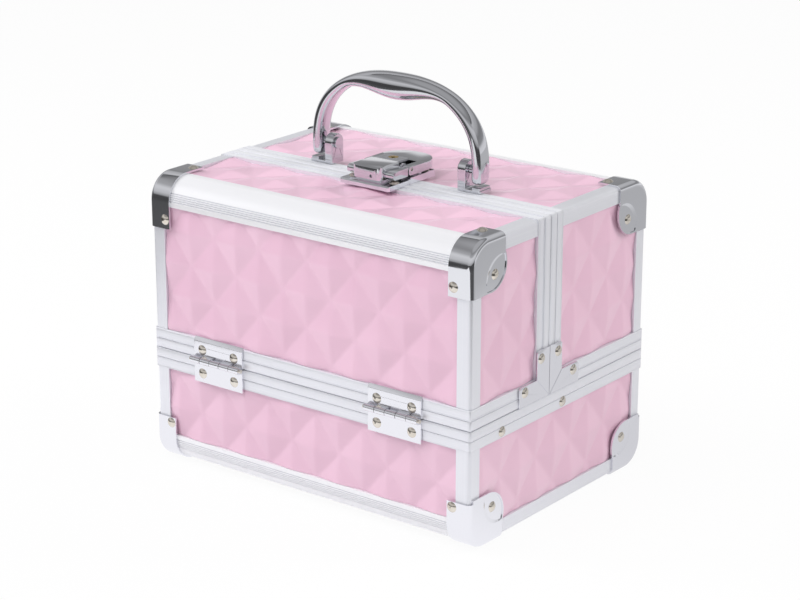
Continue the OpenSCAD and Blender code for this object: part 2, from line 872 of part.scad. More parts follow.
// Mitred plates over the foot of the seam on both sides of a lid
module lid_corner_plates(d) {
    y1 = -half_d + d;
    color(silver) both_sides() difference() {
        side_plate(half_w, plate_t) translate([y1, z_lid]) mirror([1, 0]) difference() {
            union() {
                square([plate_leg, rail_h]);
                square([rail_h, plate_leg]);
            }
            for (m = [0, 1]) mirror([m, -m])
                translate([plate_leg, rail_h]) rotate(45) square(1.6, center = true);
        }
        translate([half_w + plate_t, y1, z_lid]) rotate([45, 0, 0])
            translate([0, -0.15, 0]) box([-0.3, 0, -1], [1, 0.3, 2 * rail_h]);
        plate_rivet_places(y1) rivet_hole(plate_t);
    }
}

module plate_rivet_places(y1) {
    on_side(half_w + plate_t, y1 - plate_near, z_lid + plate_rivet) children();
    on_side(half_w + plate_t, y1 - plate_rivet, z_lid + plate_near) children();
}

module front_lid_corner_plates() {
    lid_corner_plates(front_d);
}

module rear_lid_corner_plates() {
    mirror([0, 1, 0]) lid_corner_plates(rear_d);
}

// ---- Linings ----

// Lining of a lid, open towards the base and towards the other lid
module lid_liner(d) {
    y0 = -half_d + rail_in;
    y1 = -half_d + d - rail_in_h;
    z0 = z_lid + rail_in_h;
    z1 = z_top - rail_in;
    c = rail_proud + round_r - rail_in;
    k = liner_t * tan(22.5);
    color(black) difference() {
        side_plate(-half_w + board_in, case_w - 2 * board_in)
            polygon([[y0, z0], [y1, z0], [y1, z1], [y0 + c, z1], [y0, z1 - c]]);
        side_plate(-half_w + board_in + liner_t, case_w - 2 * board_in - 2 * liner_t)
            polygon([[y0 + liner_t, z0 - 1], [y1 + 1, z0 - 1], [y1 + 1, z1 - liner_t],
                [y0 + c + k, z1 - liner_t], [y0 + liner_t, z1 - c - k]]);
    }
}

module front_lid_liner() {
    lid_liner(front_d);
}

module rear_lid_liner() {
    mirror([0, 1, 0]) lid_liner(rear_d);
}

module base_liner() {
    y0 = half_d - rail_in;
    z0 = floor_z + board_t + rail_in_t;
    z1 = z_rim - rail_in_h;
    c = round_r + z_base - z0;
    k = liner_t * tan(22.5);
    color(black) difference() {
        side_plate(-half_w + board_in, case_w - 2 * board_in)
            polygon([[y0, z0 + c], [y0, z1], [-y0, z1], [-y0, z0 + c], [-y0 + c, z0], [y0 - c, z0]]);
        side_plate(-half_w + board_in + liner_t, case_w - 2 * board_in - 2 * liner_t)
            polygon([[y0 - liner_t, z0 + c + k], [y0 - liner_t, z1 + 1], [-y0 + liner_t, z1 + 1],
                [-y0 + liner_t, z0 + c + k], [-y0 + c + k, z0 + liner_t],
                [y0 - c - k, z0 + liner_t]]);
        both_sides() arm_rivet_holes();
    }
}

// ---- Rivets ----

module lid_rivets(d) {
    both_sides() {
        translate([0, 0, cap_z1]) cap_rivets(true);
        plate_rivet_places(-half_d + d) rivet(plate_t);
        leaf_rivet_places(z_seam + leaf_rivet_up) rivet(leaf_t);
    }
}

module leaf_rivet_places(z) {
    for (s = [-1, 1])
        on_front(hinge_x + s * leaf_rivet_pitch / 2, -half_d - leaf_t, z) children();
}

module front_lid_rivets() {
    color(steel) {
        lid_rivets(front_d);
        catch_rivet_places() rivet(catch_t);
    }
}

module rear_lid_rivets() {
    color(steel) {
        mirror([0, 1, 0]) lid_rivets(rear_d);
        lock_rivet_places() rivet(catch_t);
    }
}

module base_rivets() {
    color(steel) both_sides() both_ends() {
        mirror([0, 0, 1]) cap_rivets(false);
        leaf_rivet_places(z_seam - leaf_rivet_down) rivet(leaf_t);
    }
}

// ---- Hinges ----

// One leaf at the front right. Its own knuckles are those with k odd or even, each on a sloping
// web; room is cut for the others. A fit of 0 grips the pin.
module leaf(z0, z1, odd, fit) {
    x0 = hinge_x - hinge_w / 2;
    color(chrome) difference() {
        union() {
            box([x0, -half_d - leaf_t, z0], [x0 + hinge_w, -half_d, z1]);
            for (k = [odd:2:knuckles - 1]) {
                x_pin(x0 + k * knuckle_w, x0 + (k + 1) * knuckle_w, hinge_y, z_seam, knuckle_r);
                side_plate(x0 + k * knuckle_w, knuckle_w) translate([hinge_y, z_seam])
                    mirror([0, odd ? 0 : 1]) polygon([[0, web_foot], [0, knuckle_r],
                        [hinge_out - leaf_t / 2, knuckle_r + web_foot],
                        [hinge_out - leaf_t / 2, web_foot]]);
            }
        }
        for (k = [1 - odd:2:knuckles - 1])
            x_pin(x0 + k * knuckle_w - (k > 0 ? knuckle_gap / 2 : 1),
                x0 + (k + 1) * knuckle_w + (k < knuckles - 1 ? knuckle_gap / 2 : 1),
                hinge_y, z_seam, knuckle_r + knuckle_gap);
        for (k = [odd:2:knuckles - 1], s = [0, 1])
            translate([x0 + (k + s) * knuckle_w, hinge_y, z_seam]) rotate([0, 90, 0])
                cylinder(r = knuckle_r + eps, h = s == 0 && k > 0 || s == 1 && k < knuckles - 1
                    ? knuckle_gap : eps, center = true);
        x_pin(x0 - 1, x0 + hinge_w + 1, hinge_y, z_seam, hinge_pin_r + fit);
        leaf_rivet_places(odd ? z_seam + leaf_rivet_up : z_seam - leaf_rivet_down)
            rivet_hole(leaf_t);
    }
}

module hinge_base_leaves() {
    both_sides() both_ends() leaf(z_seam - base_leaf_h, z_rim, 0, 0);
}

// The lid's leaf, with a lip that slopes back over the top of the rail
module lid_leaves() {
    z1 = z_seam + lid_leaf_h;
    z2 = z_lid + rail_h + 0.1;
    y0 = -half_d - leaf_t;
    y1 = -half_d + 0.4;
    both_sides() {
        leaf(z_lid, z1 - lip_h, 1, hinge_fit);
        color(chrome) side_plate(hinge_x - hinge_w / 2, hinge_w)
            polygon([[y0, z1 - lip_h - 1], [y0, z1 - lip_h], [y1, z1], [y1, z2], [-half_d, z2],
                [-half_d, z1 - lip_h - 1]]);
    }
}

module hinge_front_lid_leaves() {
    lid_leaves();
}

module hinge_rear_lid_leaves() {
    mirror([0, 1, 0]) lid_leaves();
}

module hinge_pins() {
    color(steel) both_sides() both_ends()
        x_pin(hinge_x - hinge_w / 2 - 1, hinge_x + hinge_w / 2 + 1, hinge_y, z_seam, hinge_pin_r);
}

// ---- Swing arms ----

module arm_rivet_holes() {
    for (y = [arm_y1, arm_y2])
        x_pin(half_w - rail_in - 1, half_w + 1, y, arm_z, shank_r + rivet_fit);
}

// Rivets through the base's side rails that carry the arms, with a shoulder behind each arm
module arm_base_rivets() {
    color(steel) both_sides() for (y = [arm_y1, arm_y2]) {
        on_side(half_w - rail_step, y, arm_z) rivet(half_w - rail_step - arm_x);
        x_pin(arm_x + arm_t + arm_play, half_w - rail_in, y, arm_z, 2 * shank_r);
        x_pin(arm_x - arm_play - pin_head_t, arm_x - arm_play, y, arm_z, head_r);
        x_pin(arm_x - arm_play - eps, arm_x + 1, y, arm_z, shank_r);
    }
}

module swing_arms(y) {
    color(steel) both_sides() difference() {
        side_plate(arm_x, arm_t) translate([y, arm_z]) rotate(arm_angle) {
            translate([0, -arm_w / 2]) square([arm_len, arm_w]);
            circle(arm_w / 2);
            translate([arm_len, 0]) circle(arm_w / 2);
        }
        for (s = [0, 0.5, 1])
            x_pin(arm_x - 1, arm_x + arm_t + 1, y + s * arm_dy, arm_z + s * arm_dz,
                shank_r + rivet_fit);
    }
}

module front_swing_arms() {
    swing_arms(arm_y1);
}

module rear_swing_arms() {
    swing_arms(arm_y2);
}

// Studs on the front lid's side boards that push the upper tray
module lid_link_studs() {
    x1 = half_w - board_in - liner_t;
    color(steel) both_sides() {
        x_pin(x1 - pin_head_t, x1, link_y, link_z, stud_head_r);
        x_pin(tray_half_w - tray_wall - arm_play, x1, link_y, link_z, shank_r);
        x_pin(tray_half_w - tray_wall - arm_play - pin_head_t, tray_half_w - tray_wall - arm_play,
            link_y, link_z, head_r);
    }
}

// ---- Trays ----

// Moulded tray with its underside at z, divided along its length and, with two rows, across
module tray(z, cells, rows) {
    w = 2 * tray_half_w;
    d = tray_y1 - tray_y0;
    split = rows > 1 ? [0, 0.4, 1] : [0, 1];
    cw = (w - tray_wall) / cells;
    translate([0, tray_y0, z]) difference() {
        translate([0, d / 2, 0]) linear_extrude(tray_h) round_rect(w, d, 3);
        for (r = [0:rows - 1]) for (i = [0:cells - 1])
            translate([-w / 2 + tray_wall + i * cw,
                tray_wall + split[r] * (d - tray_wall), tray_floor])
                linear_extrude(tray_h)
                    translate([(cw - tray_wall) / 2,
                        ((split[r + 1] - split[r]) * (d - tray_wall) - tray_wall) / 2])
                        round_rect(cw - tray_wall,
                            (split[r + 1] - split[r]) * (d - tray_wall) - tray_wall, 2);
    }
}

// Pivot of a tray on an arm at y and z
module tray_hole(y, z) {
    both_sides() x_pin(tray_half_w - tray_wall - 1, tray_half_w + 1, y, z, shank_r);
}

module tray_pivot(y, z) {
    x0 = tray_half_w - tray_wall;
    both_sides() {
        x_pin(x0 - pin_head_t, x0, y, z, head_r);
        x_pin(x0 - pin_head_t, arm_x + arm_t + arm_play + pin_head_t, y, z, shank_r);
        x_pin(arm_x + arm_t + arm_play, arm_x + arm_t + arm_play + pin_head_t, y, z, head_r);
    }
}

module lower_tray() {
    color(black) difference() {
        tray(lower_z, lower_cells, 1);
        for (y = [arm_y1, arm_y2]) tray_hole(y + arm_dy / 2, arm_z + arm_dz / 2);
    }
}

module lower_tray_rivets() {
    color(steel) for (y = [arm_y1, arm_y2]) tray_pivot(y + arm_dy / 2, arm_z + arm_dz / 2);
}

module upper_tray() {
    color(black) difference() {
        tray(upper_z, upper_cells, 2);
        for (y = [arm_y1, arm_y2]) tray_hole(y + arm_dy, arm_z + arm_dz);
        both_sides() x_pin(tray_half_w - tray_wall - 1, tray_half_w + 1, link_y, link_z,
            shank_r + rivet_fit);
    }
}

module upper_tray_rivets() {
    color(steel) for (y = [arm_y1, arm_y2]) tray_pivot(y + arm_dy, arm_z + arm_dz);
}

// ---- Mirror ----

module mirror_frame() {
    z1 = z_top - rail_in - liner_t;
    color(black) translate([0, mirror_y, z1]) difference() {
        translate([0, 0, -2 * mirror_t]) linear_extrude(2 * mirror_t)
            round_rect(mirror_w + 2 * mirror_rim, mirror_h + 2 * mirror_rim, 3);
        box([-mirror_w / 2 - 0.1, -mirror_h / 2 - 0.1, -mirror_t],
            [mirror_w / 2 + 0.1, mirror_h / 2 + 0.1, 1]);
        box([-mirror_w / 2 + 1.5, -mirror_h / 2 + 1.5, -3 * mirror_t],
            [mirror_w / 2 - 1.5, mirror_h / 2 - 1.5, 1]);
    }
}

module mirror_glass() {
    z1 = z_top - rail_in - liner_t;
    color([0.8, 0.85, 0.9]) box([-mirror_w / 2, mirror_y - mirror_h / 2, z1 - mirror_t],
        [mirror_w / 2, mirror_y + mirror_h / 2, z1]);
}

// ---- Handle ----

function spow(c, p) = sign(c) * pow(abs(c), p);

// Weight of the grip's swelling at x: 1 in the middle, 0 past its ends
function swell(x) = abs(x) < grip_half ? pow(1 - x * x / (grip_half * grip_half), 2) : 0;

// Half thickness at x: the shoulders are thinnest, and it grows to the legs over leg_blend
function arch_tn(x) = handle_tn + grip_tn * swell(x) + (leg_tn - handle_tn)
    * max(0, min(1, (abs(x) - handle_half_w + leg_blend) / leg_blend));

function arch_ty(x) = handle_ty + grip_ty * swell(x);

// Rings of the arch: centre x, centre z over the top, outward direction, and half sizes
function arch_rings() = let (
    arch_a = handle_half_w,
    arch_b = handle_h - handle_leg_h,
    steps = 40)
    [for (i = [0:steps])
        let (f = 180 * i / steps,
            p = [arch_a * spow(cos(f), 2 / handle_n), arch_b * spow(sin(f), 2 / handle_n)],
            g = [spow(cos(f), 2 - 2 / handle_n) / arch_a, spow(sin(f), 2 - 2 / handle_n) / arch_b],
            n = g / norm(g),
            t = arch_tn(p[0]))
        [p[0] - n[0] * t, handle_leg_h + p[1] - n[1] * t, n[0], n[1], t, arch_ty(p[0])]];

// Rings of one leg, from its rounded foot upwards, as height over the top and scale
leg_rings = [[4, 0.45], [4.6, 0.75], [5.6, 0.93], [7.4, 1], [9.6, 1]];

function leg(s, down) = [for (k = [0:4])
    let (q = leg_rings[down ? 4 - k : k])
    [s * (handle_half_w - leg_tn), q[0], s, 0, leg_tn * q[1], handle_ty * q[1]]];

module handle_solid() {
    m = 16;
    rings = concat(leg(1, false), arch_rings(), leg(-1, true));
    n = len(rings);
    pts = [for (q = rings) for (j = [0:m - 1])
        let (u = q[4] * spow(cos(360 * j / m), 0.85), v = q[5] * spow(sin(360 * j / m), 0.85))
        [q[0] + q[2] * u, handle_y + v, z_top + q[1] + q[3] * u]];
    sides = [for (i = [0:n - 2]) for (j = [0:m - 1])
        let (a = i * m + j, b = i * m + (j + 1) % m)
        each [[a, a + m, b + m], [a, b + m, b]]];
    polyhedron(pts, concat(sides, [[for (j = [0:m - 1]) j]],
        [[for (j = [0:m - 1]) n * m - 1 - j]]));
}

module handle() {
    color(chrome) difference() {
        handle_solid();
        both_sides() x_pin(leg_in_x - 2, handle_half_w - 1.9, handle_y, handle_pivot_z,
            handle_pin_r + rivet_fit);
    }
}

module handle_pins() {
    color(steel) both_sides() {
        x_pin(boss_x0 - 0.2, handle_half_w - 2, handle_y, handle_pivot_z, handle_pin_r);
        x_pin(boss_x0 - 1.2, boss_x0 - 0.2, handle_y, handle_pivot_z, handle_pin_r + 1);
    }
}

module handle_brackets() {
    color(chrome) both_sides() difference() {
        union() {
            side_plate(boss_x0, boss_t) {
                translate([handle_y, handle_pivot_z]) circle(boss_d / 2);
                translate([handle_y - boss_d / 2, z_top]) square([boss_d, handle_pivot_h]);
            }
            box([boss_x0, handle_y - boss_d / 2, z_top],
                [handle_half_w, handle_y + boss_d / 2, z_top + foot_t]);
            box([handle_half_w - 5, handle_y - boss_d / 2, z_top],
                [handle_half_w - 0.5, handle_y + boss_d / 2, z_top + 2.8]);
        }
        x_pin(boss_x0 - 1, boss_x1 + 1, handle_y, handle_pivot_z, handle_pin_r + rivet_fit);
    }
}

// ---- Latch ----

module catch_rivet_places() {
    for (s = [-1, 1])
        translate([s * (catch_half_w - 2.9), seam_y - catch_d + 8, z_top + catch_t]) children();
}

module lock_rivet_places() {
    for (s = [-1, 1])
        translate([s * (lock_half_w - 3.7), seam_y + lock_d - 3.7, z_top + catch_t]) children();
}

module catch_plate() {
    color(chrome) difference() {
        translate([0, seam_y - (catch_d + seam_gap / 2) / 2, z_top]) linear_extrude(catch_t)
            round_rect(2 * catch_half_w, catch_d - seam_gap / 2, 1);
        translate([0, seam_y - catch_d, z_top + catch_t]) rotate([45, 0, 0])
            cube([3 * catch_half_w, 1, 1], center = true);
        catch_rivet_places() rivet_hole(catch_t);
    }
}

// Heights of the lever's upper and lower face, which the catch's side lugs share
lever_z1 = z_top + block_z1 - 2.3;
lever_z0 = lever_z1 - lever_t;
lever_tip = 1.9;

// Side view of an arm from y0 to y1 with a round tip at y0
module arm_outline(y0, y1) {
    translate([y0 + lever_tip, lever_z0]) square([y1 - y0 - lever_tip, lever_t]);
    translate([y0, lever_z0 + lever_tip]) square([y1 - y0, lever_t - 2 * lever_tip]);
    for (z = [lever_z0 + lever_tip, lever_z1 - lever_tip]) translate([y0 + lever_tip, z])
        circle(lever_tip);
}

// Block on the catch plate with a lug on each side, in line with the lever's arms. It stands on
// a narrower foot, so a dark gap shows below it.
module catch_block() {
    r = 2.5;
    y1 = seam_y - seam_gap / 2;
    color(chrome) difference() {
        union() {
            box([-block_half_w + 2, seam_y - block_d + 3, z_top + catch_t],
                [block_half_w - 2, seam_y - 1.5, z_top + block_z0]);
            translate([0, 0, z_top + block_z0]) linear_extrude(block_z1 - block_z0) {
                translate([-block_half_w, seam_y - block_d + r])
                    square([2 * block_half_w, y1 - seam_y + block_d - r]);
                translate([-block_half_w + r, seam_y - block_d])
                    square([2 * (block_half_w - r), r + 1]);
                for (s = [-1, 1])
                    translate([s * (block_half_w - r), seam_y - block_d + r]) circle(r);
            }
            both_sides() side_plate(block_half_w - 0.5, lever_half_w - block_half_w + 0.5)
                arm_outline(seam_y - lug_d, y1);
        }
        for (s = [-1, 1])
            translate([s * block_half_w, seam_y - block_d / 2, z_top + block_z1])
                rotate([0, 45, 0]) cube([1, 2 * block_d, 1], center = true);
        translate([0, seam_y - block_d, z_top + block_z1]) rotate([45, 0, 0])
            cube([3 * block_half_w, 1.2, 1.2], center = true);
        on_front(3, seam_y - block_d, z_top + block_z0 + 1.8)
            cylinder(r = 0.8, h = 4, center = true);
    }
}

lever_y = seam_y + lever_pivot_y;
lever_z = z_top + lever_pivot_h;
ear_x1 = lever_in_w - 0.3;

// Foot plate of the lock with raised rims and the two ears that carry the lever
module lock_base() {
    y0 = seam_y + seam_gap / 2;
    y1 = seam_y + lock_d;
    color(chrome) difference() {
        union() {
            translate([0, (y0 + y1) / 2, z_top]) linear_extrude(catch_t)
                round_rect(2 * lock_half_w, y1 - y0, 1);
            for (s = [-1, 1]) mirror([s < 0 ? 1 : 0, 0, 0])
                box([lock_half_w - 0.8, y0 + 1, z_top], [lock_half_w, y1 - 1, z_top + catch_t + 0.8]);
            box([-lock_half_w + 1, y1 - 0.8, z_top], [lock_half_w - 1, y1, z_top + catch_t + 0.8]);
            both_sides() side_plate(ear_x1 - ear_t, ear_t) {
                translate([lever_y, lever_z]) circle(2.2);
                translate([lever_y - 2.2, z_top + 1]) square([4.4, lever_pivot_h - 1]);
            }
        }
        both_sides() x_pin(ear_x1 - ear_t - 1, ear_x1 + 0.2, lever_y, lever_z, lever_pin_r);
        lock_rivet_places() rivet_hole(catch_t);
    }
}

// Housing of the lock: a foot under a keyhole plate that slopes down and narrows to the rear
module lock_housing() {
    y0 = seam_y + seam_gap / 2 + 0.2;
    y1 = seam_y + key_d;
    color(chrome) difference() {
        intersection() {
            translate([0, 0, z_top + catch_t]) linear_extrude(block_z1 - catch_t)
                polygon([[-key_half_w, y0], [key_half_w, y0], [key_half_w, y0 + key_d * 0.65],
                    [key_half_w - 2, y1], [-key_half_w + 2, y1], [-key_half_w, y0 + key_d * 0.65]]);
            side_plate(-key_half_w - 1, 2 * key_half_w + 2)
                polygon([[y0, z_top + catch_t], [y1 - 1.5, z_top + catch_t],
                    [y1 - 1.5, z_top + block_z0 + 1.5], [y1, z_top + block_z0 + 1.5],
                    [y1, z_top + block_z1 - 2], [y0 + key_d * 0.75, z_top + block_z1 - 0.3],
                    [y0, z_top + block_z1 - 0.3]]);
        }
        translate([0, seam_y + key_y, z_top + catch_t + 1])
            cylinder(r = cylinder_r + rivet_fit, h = block_z1);
    }
}

module lock_cylinder() {
    z0 = z_top + catch_t + 1;
    z1 = z_top + block_z1 - 0.5;
    color([0.8, 0.65, 0.3]) translate([0, seam_y + key_y, 0]) difference() {
        translate([0, 0, z0]) cylinder(r = cylinder_r, h = z1 - z0);
        translate([0, 0, z1 - 2]) linear_extrude(3) {
            circle(0.8, $fn = 24);
            translate([-0.4, -1.7]) square([0.8, 1.7]);
        }
    }
}

module lever_pins() {
    color(steel) both_sides()
        x_pin(ear_x1 - ear_t, lever_half_w - 0.6, lever_y, lever_z, lever_pin_r);
}

// D-shaped lever: two arms that straddle the lock, joined by a broad round plate at the rear
module latch_lever() {
    y0 = seam_y + lever_gap;
    y1 = seam_y + lever_back;
    r = lever_half_w - 1.5;
    color(chrome) difference() {
        intersection() {
            translate([0, 0, z_top]) linear_extrude(block_z1) {
                translate([-lever_half_w, y0]) square([2 * lever_half_w, y1 - y0 - r]);
                translate([-lever_half_w + r, y0]) square([2 * (lever_half_w - r), y1 - y0]);
                for (s = [-1, 1]) translate([s * (lever_half_w - r), y1 - r]) circle(r, $fn = 96);
            }
            side_plate(-lever_half_w - 1, 2 * lever_half_w + 2) arm_outline(y0, y1 + 1);
        }
        box([-lever_in_w, y0 - 1, z_top],
            [lever_in_w, seam_y + key_d + lever_key_gap, z_top + block_z1]);
        both_sides() x_pin(lever_in_w - 1, lever_half_w + 1, lever_y, lever_z,
            lever_pin_r + rivet_fit);
    }
}

// ---- Drawing ----

base_front_panel();
base_rear_panel();
base_side_panels();
base_floor_panel();
base_seam_rails();
base_corner_posts();
base_round_rails();
base_side_rails();
base_corner_caps();
base_liner();
base_rivets();
hinge_base_leaves();
hinge_pins();
arm_base_rivets();
front_lid_front_panel();
front_lid_top_panel();
front_lid_side_panels();
front_lid_bottom_rails();
front_lid_seam_rails();
front_lid_corner_posts();
front_lid_round_rail();
front_lid_side_rails();
front_lid_corner_caps();
front_lid_corner_plates();
front_lid_liner();
front_lid_rivets();
hinge_front_lid_leaves();
catch_plate();
catch_block();
lid_link_studs();
rear_lid_rear_panel();
rear_lid_top_panel();
rear_lid_side_panels();
rear_lid_bottom_rails();
rear_lid_seam_rails();
rear_lid_corner_posts();
rear_lid_round_rail();
rear_lid_side_rails();
rear_lid_corner_caps();
rear_lid_corner_plates();
rear_lid_liner();
rear_lid_rivets();
hinge_rear_lid_leaves();
mirror_glass();
mirror_frame();
handle_brackets();
lock_base();
lock_housing();
lever_pins();
handle();
handle_pins();
latch_lever();
lock_cylinder();
front_swing_arms();
rear_swing_arms();
lower_tray();
upper_tray();
lower_tray_rivets();
upper_tray_rivets();
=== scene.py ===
import math

import bmesh
import bpy
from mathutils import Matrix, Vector


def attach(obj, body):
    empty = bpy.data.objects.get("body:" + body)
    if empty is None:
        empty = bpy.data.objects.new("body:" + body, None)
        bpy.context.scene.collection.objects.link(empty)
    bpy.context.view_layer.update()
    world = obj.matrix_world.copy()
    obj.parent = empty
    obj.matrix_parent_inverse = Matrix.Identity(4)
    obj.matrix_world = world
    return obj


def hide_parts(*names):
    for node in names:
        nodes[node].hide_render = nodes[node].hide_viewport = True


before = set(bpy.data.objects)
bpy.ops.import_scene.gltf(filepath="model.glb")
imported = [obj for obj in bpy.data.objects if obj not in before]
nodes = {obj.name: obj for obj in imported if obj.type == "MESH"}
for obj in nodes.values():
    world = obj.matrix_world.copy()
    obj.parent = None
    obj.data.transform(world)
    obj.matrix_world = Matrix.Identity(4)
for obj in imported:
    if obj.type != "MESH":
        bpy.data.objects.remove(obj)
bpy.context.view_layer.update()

MM = 0.001

# The case, in millimetres, as the solids have it
HALF_W, HALF_D = 100.0, 75.0
BASE_Z, Z_SEAM, Z_TOP = 1.0, 62.0, 153.0
SEAM_Y = -11.0
BOARD_OUT = 2.2  # from a rail's outer face to the boards' valleys
BOARD_IN = 5.4  # and to the boards' backs
RELIEF = 1.6
RELIEF_FOOT = 0.1  # the valleys' height over the board
DIAMOND_W, DIAMOND_H = 30.0, 34.0
ROUND_R = 12.5  # the round profile's outer radius
ROUND_LEG = 14.5  # and how far it reaches over the boards
GROOVES, GROOVE_0, GROOVE_STEP = 5, 3, 5  # in its face leg, in degrees from level
BEAD_W = 4.9  # between the grooves of a seam rail


# ---- Node materials ----


class Shader:
    """A node material under construction, with its Principled shader."""

    def __init__(self, name, color, roughness, metallic=0.0, **sockets):
        self.mat = bpy.data.materials.new(name)
        self.mat.use_nodes = True
        self.tree = self.mat.node_tree
        self.bsdf = self.tree.nodes["Principled BSDF"]
        self.set("Base Color", (*linear(color), 1.0))
        self.set("Roughness", roughness)
        self.set("Metallic", metallic)
        for key, value in sockets.items():
            self.set(key.replace("_", " "), value)

    def set(self, socket, value):
        self.bsdf.inputs[socket].default_value = value

    def node(self, kind):
        return self.tree.nodes.new(kind)

    def link(self, out, into):
        self.tree.links.new(out, into)

    def math(self, operation, a, b=0.0):
        """The operation on a and b, each a number or another node's output."""
        n = self.node("ShaderNodeMath")
        n.operation = operation
        for socket, v in zip(n.inputs, (a, b)):
            if isinstance(v, (int, float)):
                socket.default_value = v
            else:
                self.link(v, socket)
        return n.outputs[0]

    def position(self):
        """Where a point is on its own piece, in metres of the row frame at rest."""
        return self.node("ShaderNodeTexCoord").outputs["Object"]

    def place(self):
        """The position's x, y and z."""
        split = self.node("ShaderNodeSeparateXYZ")
        self.link(self.position(), split.inputs[0])
        return split.outputs

    def noise(self, scale, stretch=(1, 1, 1), detail=3.0, rough=0.5):
        m = self.node("ShaderNodeMapping")
        m.inputs["Scale"].default_value = stretch
        self.link(self.position(), m.inputs["Vector"])
        n = self.node("ShaderNodeTexNoise")
        n.inputs["Scale"].default_value = scale
        n.inputs["Detail"].default_value = detail
        n.inputs["Roughness"].default_value = rough
        self.link(m.outputs[0], n.inputs["Vector"])
        return n.outputs["Fac"]

    def mix(self, fac, a, b):
        n = self.node("ShaderNodeMix")
        n.data_type = "FLOAT"
        for k, out in ((0, fac), (2, a), (3, b)):
            self.link(out, n.inputs[k])
        return n.outputs[0]

    def ramp(self, fac, low, high, a, b):
        """fac from low to high becomes a to b."""
        n = self.node("ShaderNodeMapRange")
        n.inputs["From Min"].default_value = low
        n.inputs["From Max"].default_value = high
        n.inputs["To Min"].default_value = a
        n.inputs["To Max"].default_value = b
        self.link(fac, n.inputs["Value"])
        return n.outputs[0]

    def colour(self, fac, a, b):
        """The base colour goes from a to b as fac goes from 0 to 1."""
        n = self.node("ShaderNodeMix")
        n.data_type = "RGBA"
        n.inputs[6].default_value = (*linear(a), 1.0)
        n.inputs[7].default_value = (*linear(b), 1.0)
        self.link(fac, n.inputs[0])
        self.link(n.outputs[2], self.bsdf.inputs["Base Color"])

    def bump(self, height, strength, distance):
        n = self.node("ShaderNodeBump")
        n.inputs["Strength"].default_value = strength
        n.inputs["Distance"].default_value = distance
        self.link(height, n.inputs["Height"])
        self.link(n.outputs[0], self.bsdf.inputs["Normal"])


def linear(rgb):
    """sRGB, 0 to 255, to the shader's linear values."""
    return tuple(
        v / 12.92 / 255 if v / 255 <= 0.04045 else ((v / 255 + 0.055) / 1.055) ** 2.4 for v in rgb
    )


def embossed():
    s = Shader("embossed_pink", (240, 196, 218), 0.3, Coat_Weight=0.7, Coat_Roughness=0.14)
    cloud = s.noise(14, detail=2.0)
    s.colour(s.ramp(cloud, 0.3, 0.7, 0.0, 1.0), (233, 190, 212), (238, 197, 218))
    grain = s.noise(2600, detail=2.0)
    scuff = s.noise(60, (1, 1, 3), detail=5.0, rough=0.7)
    s.link(s.ramp(scuff, 0.35, 0.75, 0.29, 0.40), s.bsdf.inputs["Roughness"])
    s.bump(grain, 0.12, 0.0001)
    return s.mat


LINES = {"x": (0.1, 60, 60), "y": (60, 0.1, 60), "z": (60, 60, 0.1)}
LINE_SCALE = 60
LINE_H = 0.002  # height of the drawing lines


def drawn_aluminium(
    name, along, across=None, mask=None, ribbed_painted_shade=False, beads=None, metallic=(0.5, 0.5)
):
    """Satin profile with drawing lines along one axis, or another where mask(s, x, y, z) is
    over 0. A ribbed one has painted shade in the grooves of the round profile's face leg: its
    colour is darker there. One with beads is slightly rounded between its grooves: beads has
    the seam's axis, place and the beads' height. metallic has a value for each direction of
    the lines."""
    s = Shader(name, (236, 237, 243), 0.33, metallic[0])
    lines = s.noise(LINE_SCALE, LINES[along])
    if across:
        other = s.noise(LINE_SCALE, LINES[across])
        side = s.math("GREATER_THAN", mask(s, *s.place()), 0.0)
        lines = s.mix(side, lines, other)
        if metallic[0] != metallic[1]:
            s.link(s.ramp(side, 0.0, 1.0, *metallic), s.bsdf.inputs["Metallic"])
    s.link(s.ramp(lines, 0.3, 0.7, 0.28, 0.38), s.bsdf.inputs["Roughness"])
    if ribbed_painted_shade:
        tone = s.ramp(lines, 0.0, 1.0, 0.86, 1.0)
        # Painted shade: the colour darkens in the round profile's grooves
        tone = s.math("MULTIPLY", tone, s.math("SUBTRACT", 1.0, round_groove_shade(s)))
        s.colour(tone, (212, 214, 222), (250, 250, 253))
    else:
        tone = s.ramp(lines, 0.25, 0.75, 0.0, 1.0)
        s.colour(tone, (232, 233, 240), (240, 241, 246))
    if beads:
        fine_lines = s.math("MULTIPLY", lines, LINE_H)
        s.bump(s.math("ADD", seam_beads(s, *beads), fine_lines), 1.0, MM)
    else:
        s.bump(lines, 0.05, 0.04 * MM)
    return s.mat


def seam_beads(s, axis, seam, height):
    """Height in millimetres of the beads of a seam rail, by the distance from the seam."""
    off = s.math("ABSOLUTE", s.math("SUBTRACT", s.place()["XYZ".index(axis)], seam * MM))
    half = BEAD_W / 2 * MM
    edge = s.math("SUBTRACT", 1.0, s.math("DIVIDE", s.math("PINGPONG", off, half), half))
    return s.math("MULTIPLY", s.math("SUBTRACT", 1.0, s.math("POWER", edge, 3.0)), height)


def round_groove_shade(s):
    """1 in the grooves that start level with the round profile's centre, else 0: where shade is
    painted into the colour.
    """
    y, z = s.place()[1:3]
    out = s.math("SUBTRACT", s.math("ABSOLUTE", y), (HALF_D - ROUND_R) * MM)
    up = s.math("SUBTRACT", z, (Z_TOP - ROUND_R) * MM)
    down = s.math("SUBTRACT", (BASE_Z + ROUND_R) * MM, z)
    angle = s.math("ARCTAN2", s.math("MAXIMUM", up, down), out)
    past = s.math("SUBTRACT", angle, math.radians(GROOVE_0))
    step = s.math("DIVIDE", past, math.radians(GROOVE_STEP))
    groove = s.ramp(s.math("PINGPONG", step, 0.5), 0.10, 0.24, 1.0, 0.0)
    after, before = s.math("GREATER_THAN", step, -0.4), s.math("LESS_THAN", step, GROOVES - 0.6)
    return s.math("MULTIPLY", groove, s.math("MULTIPLY", after, before))


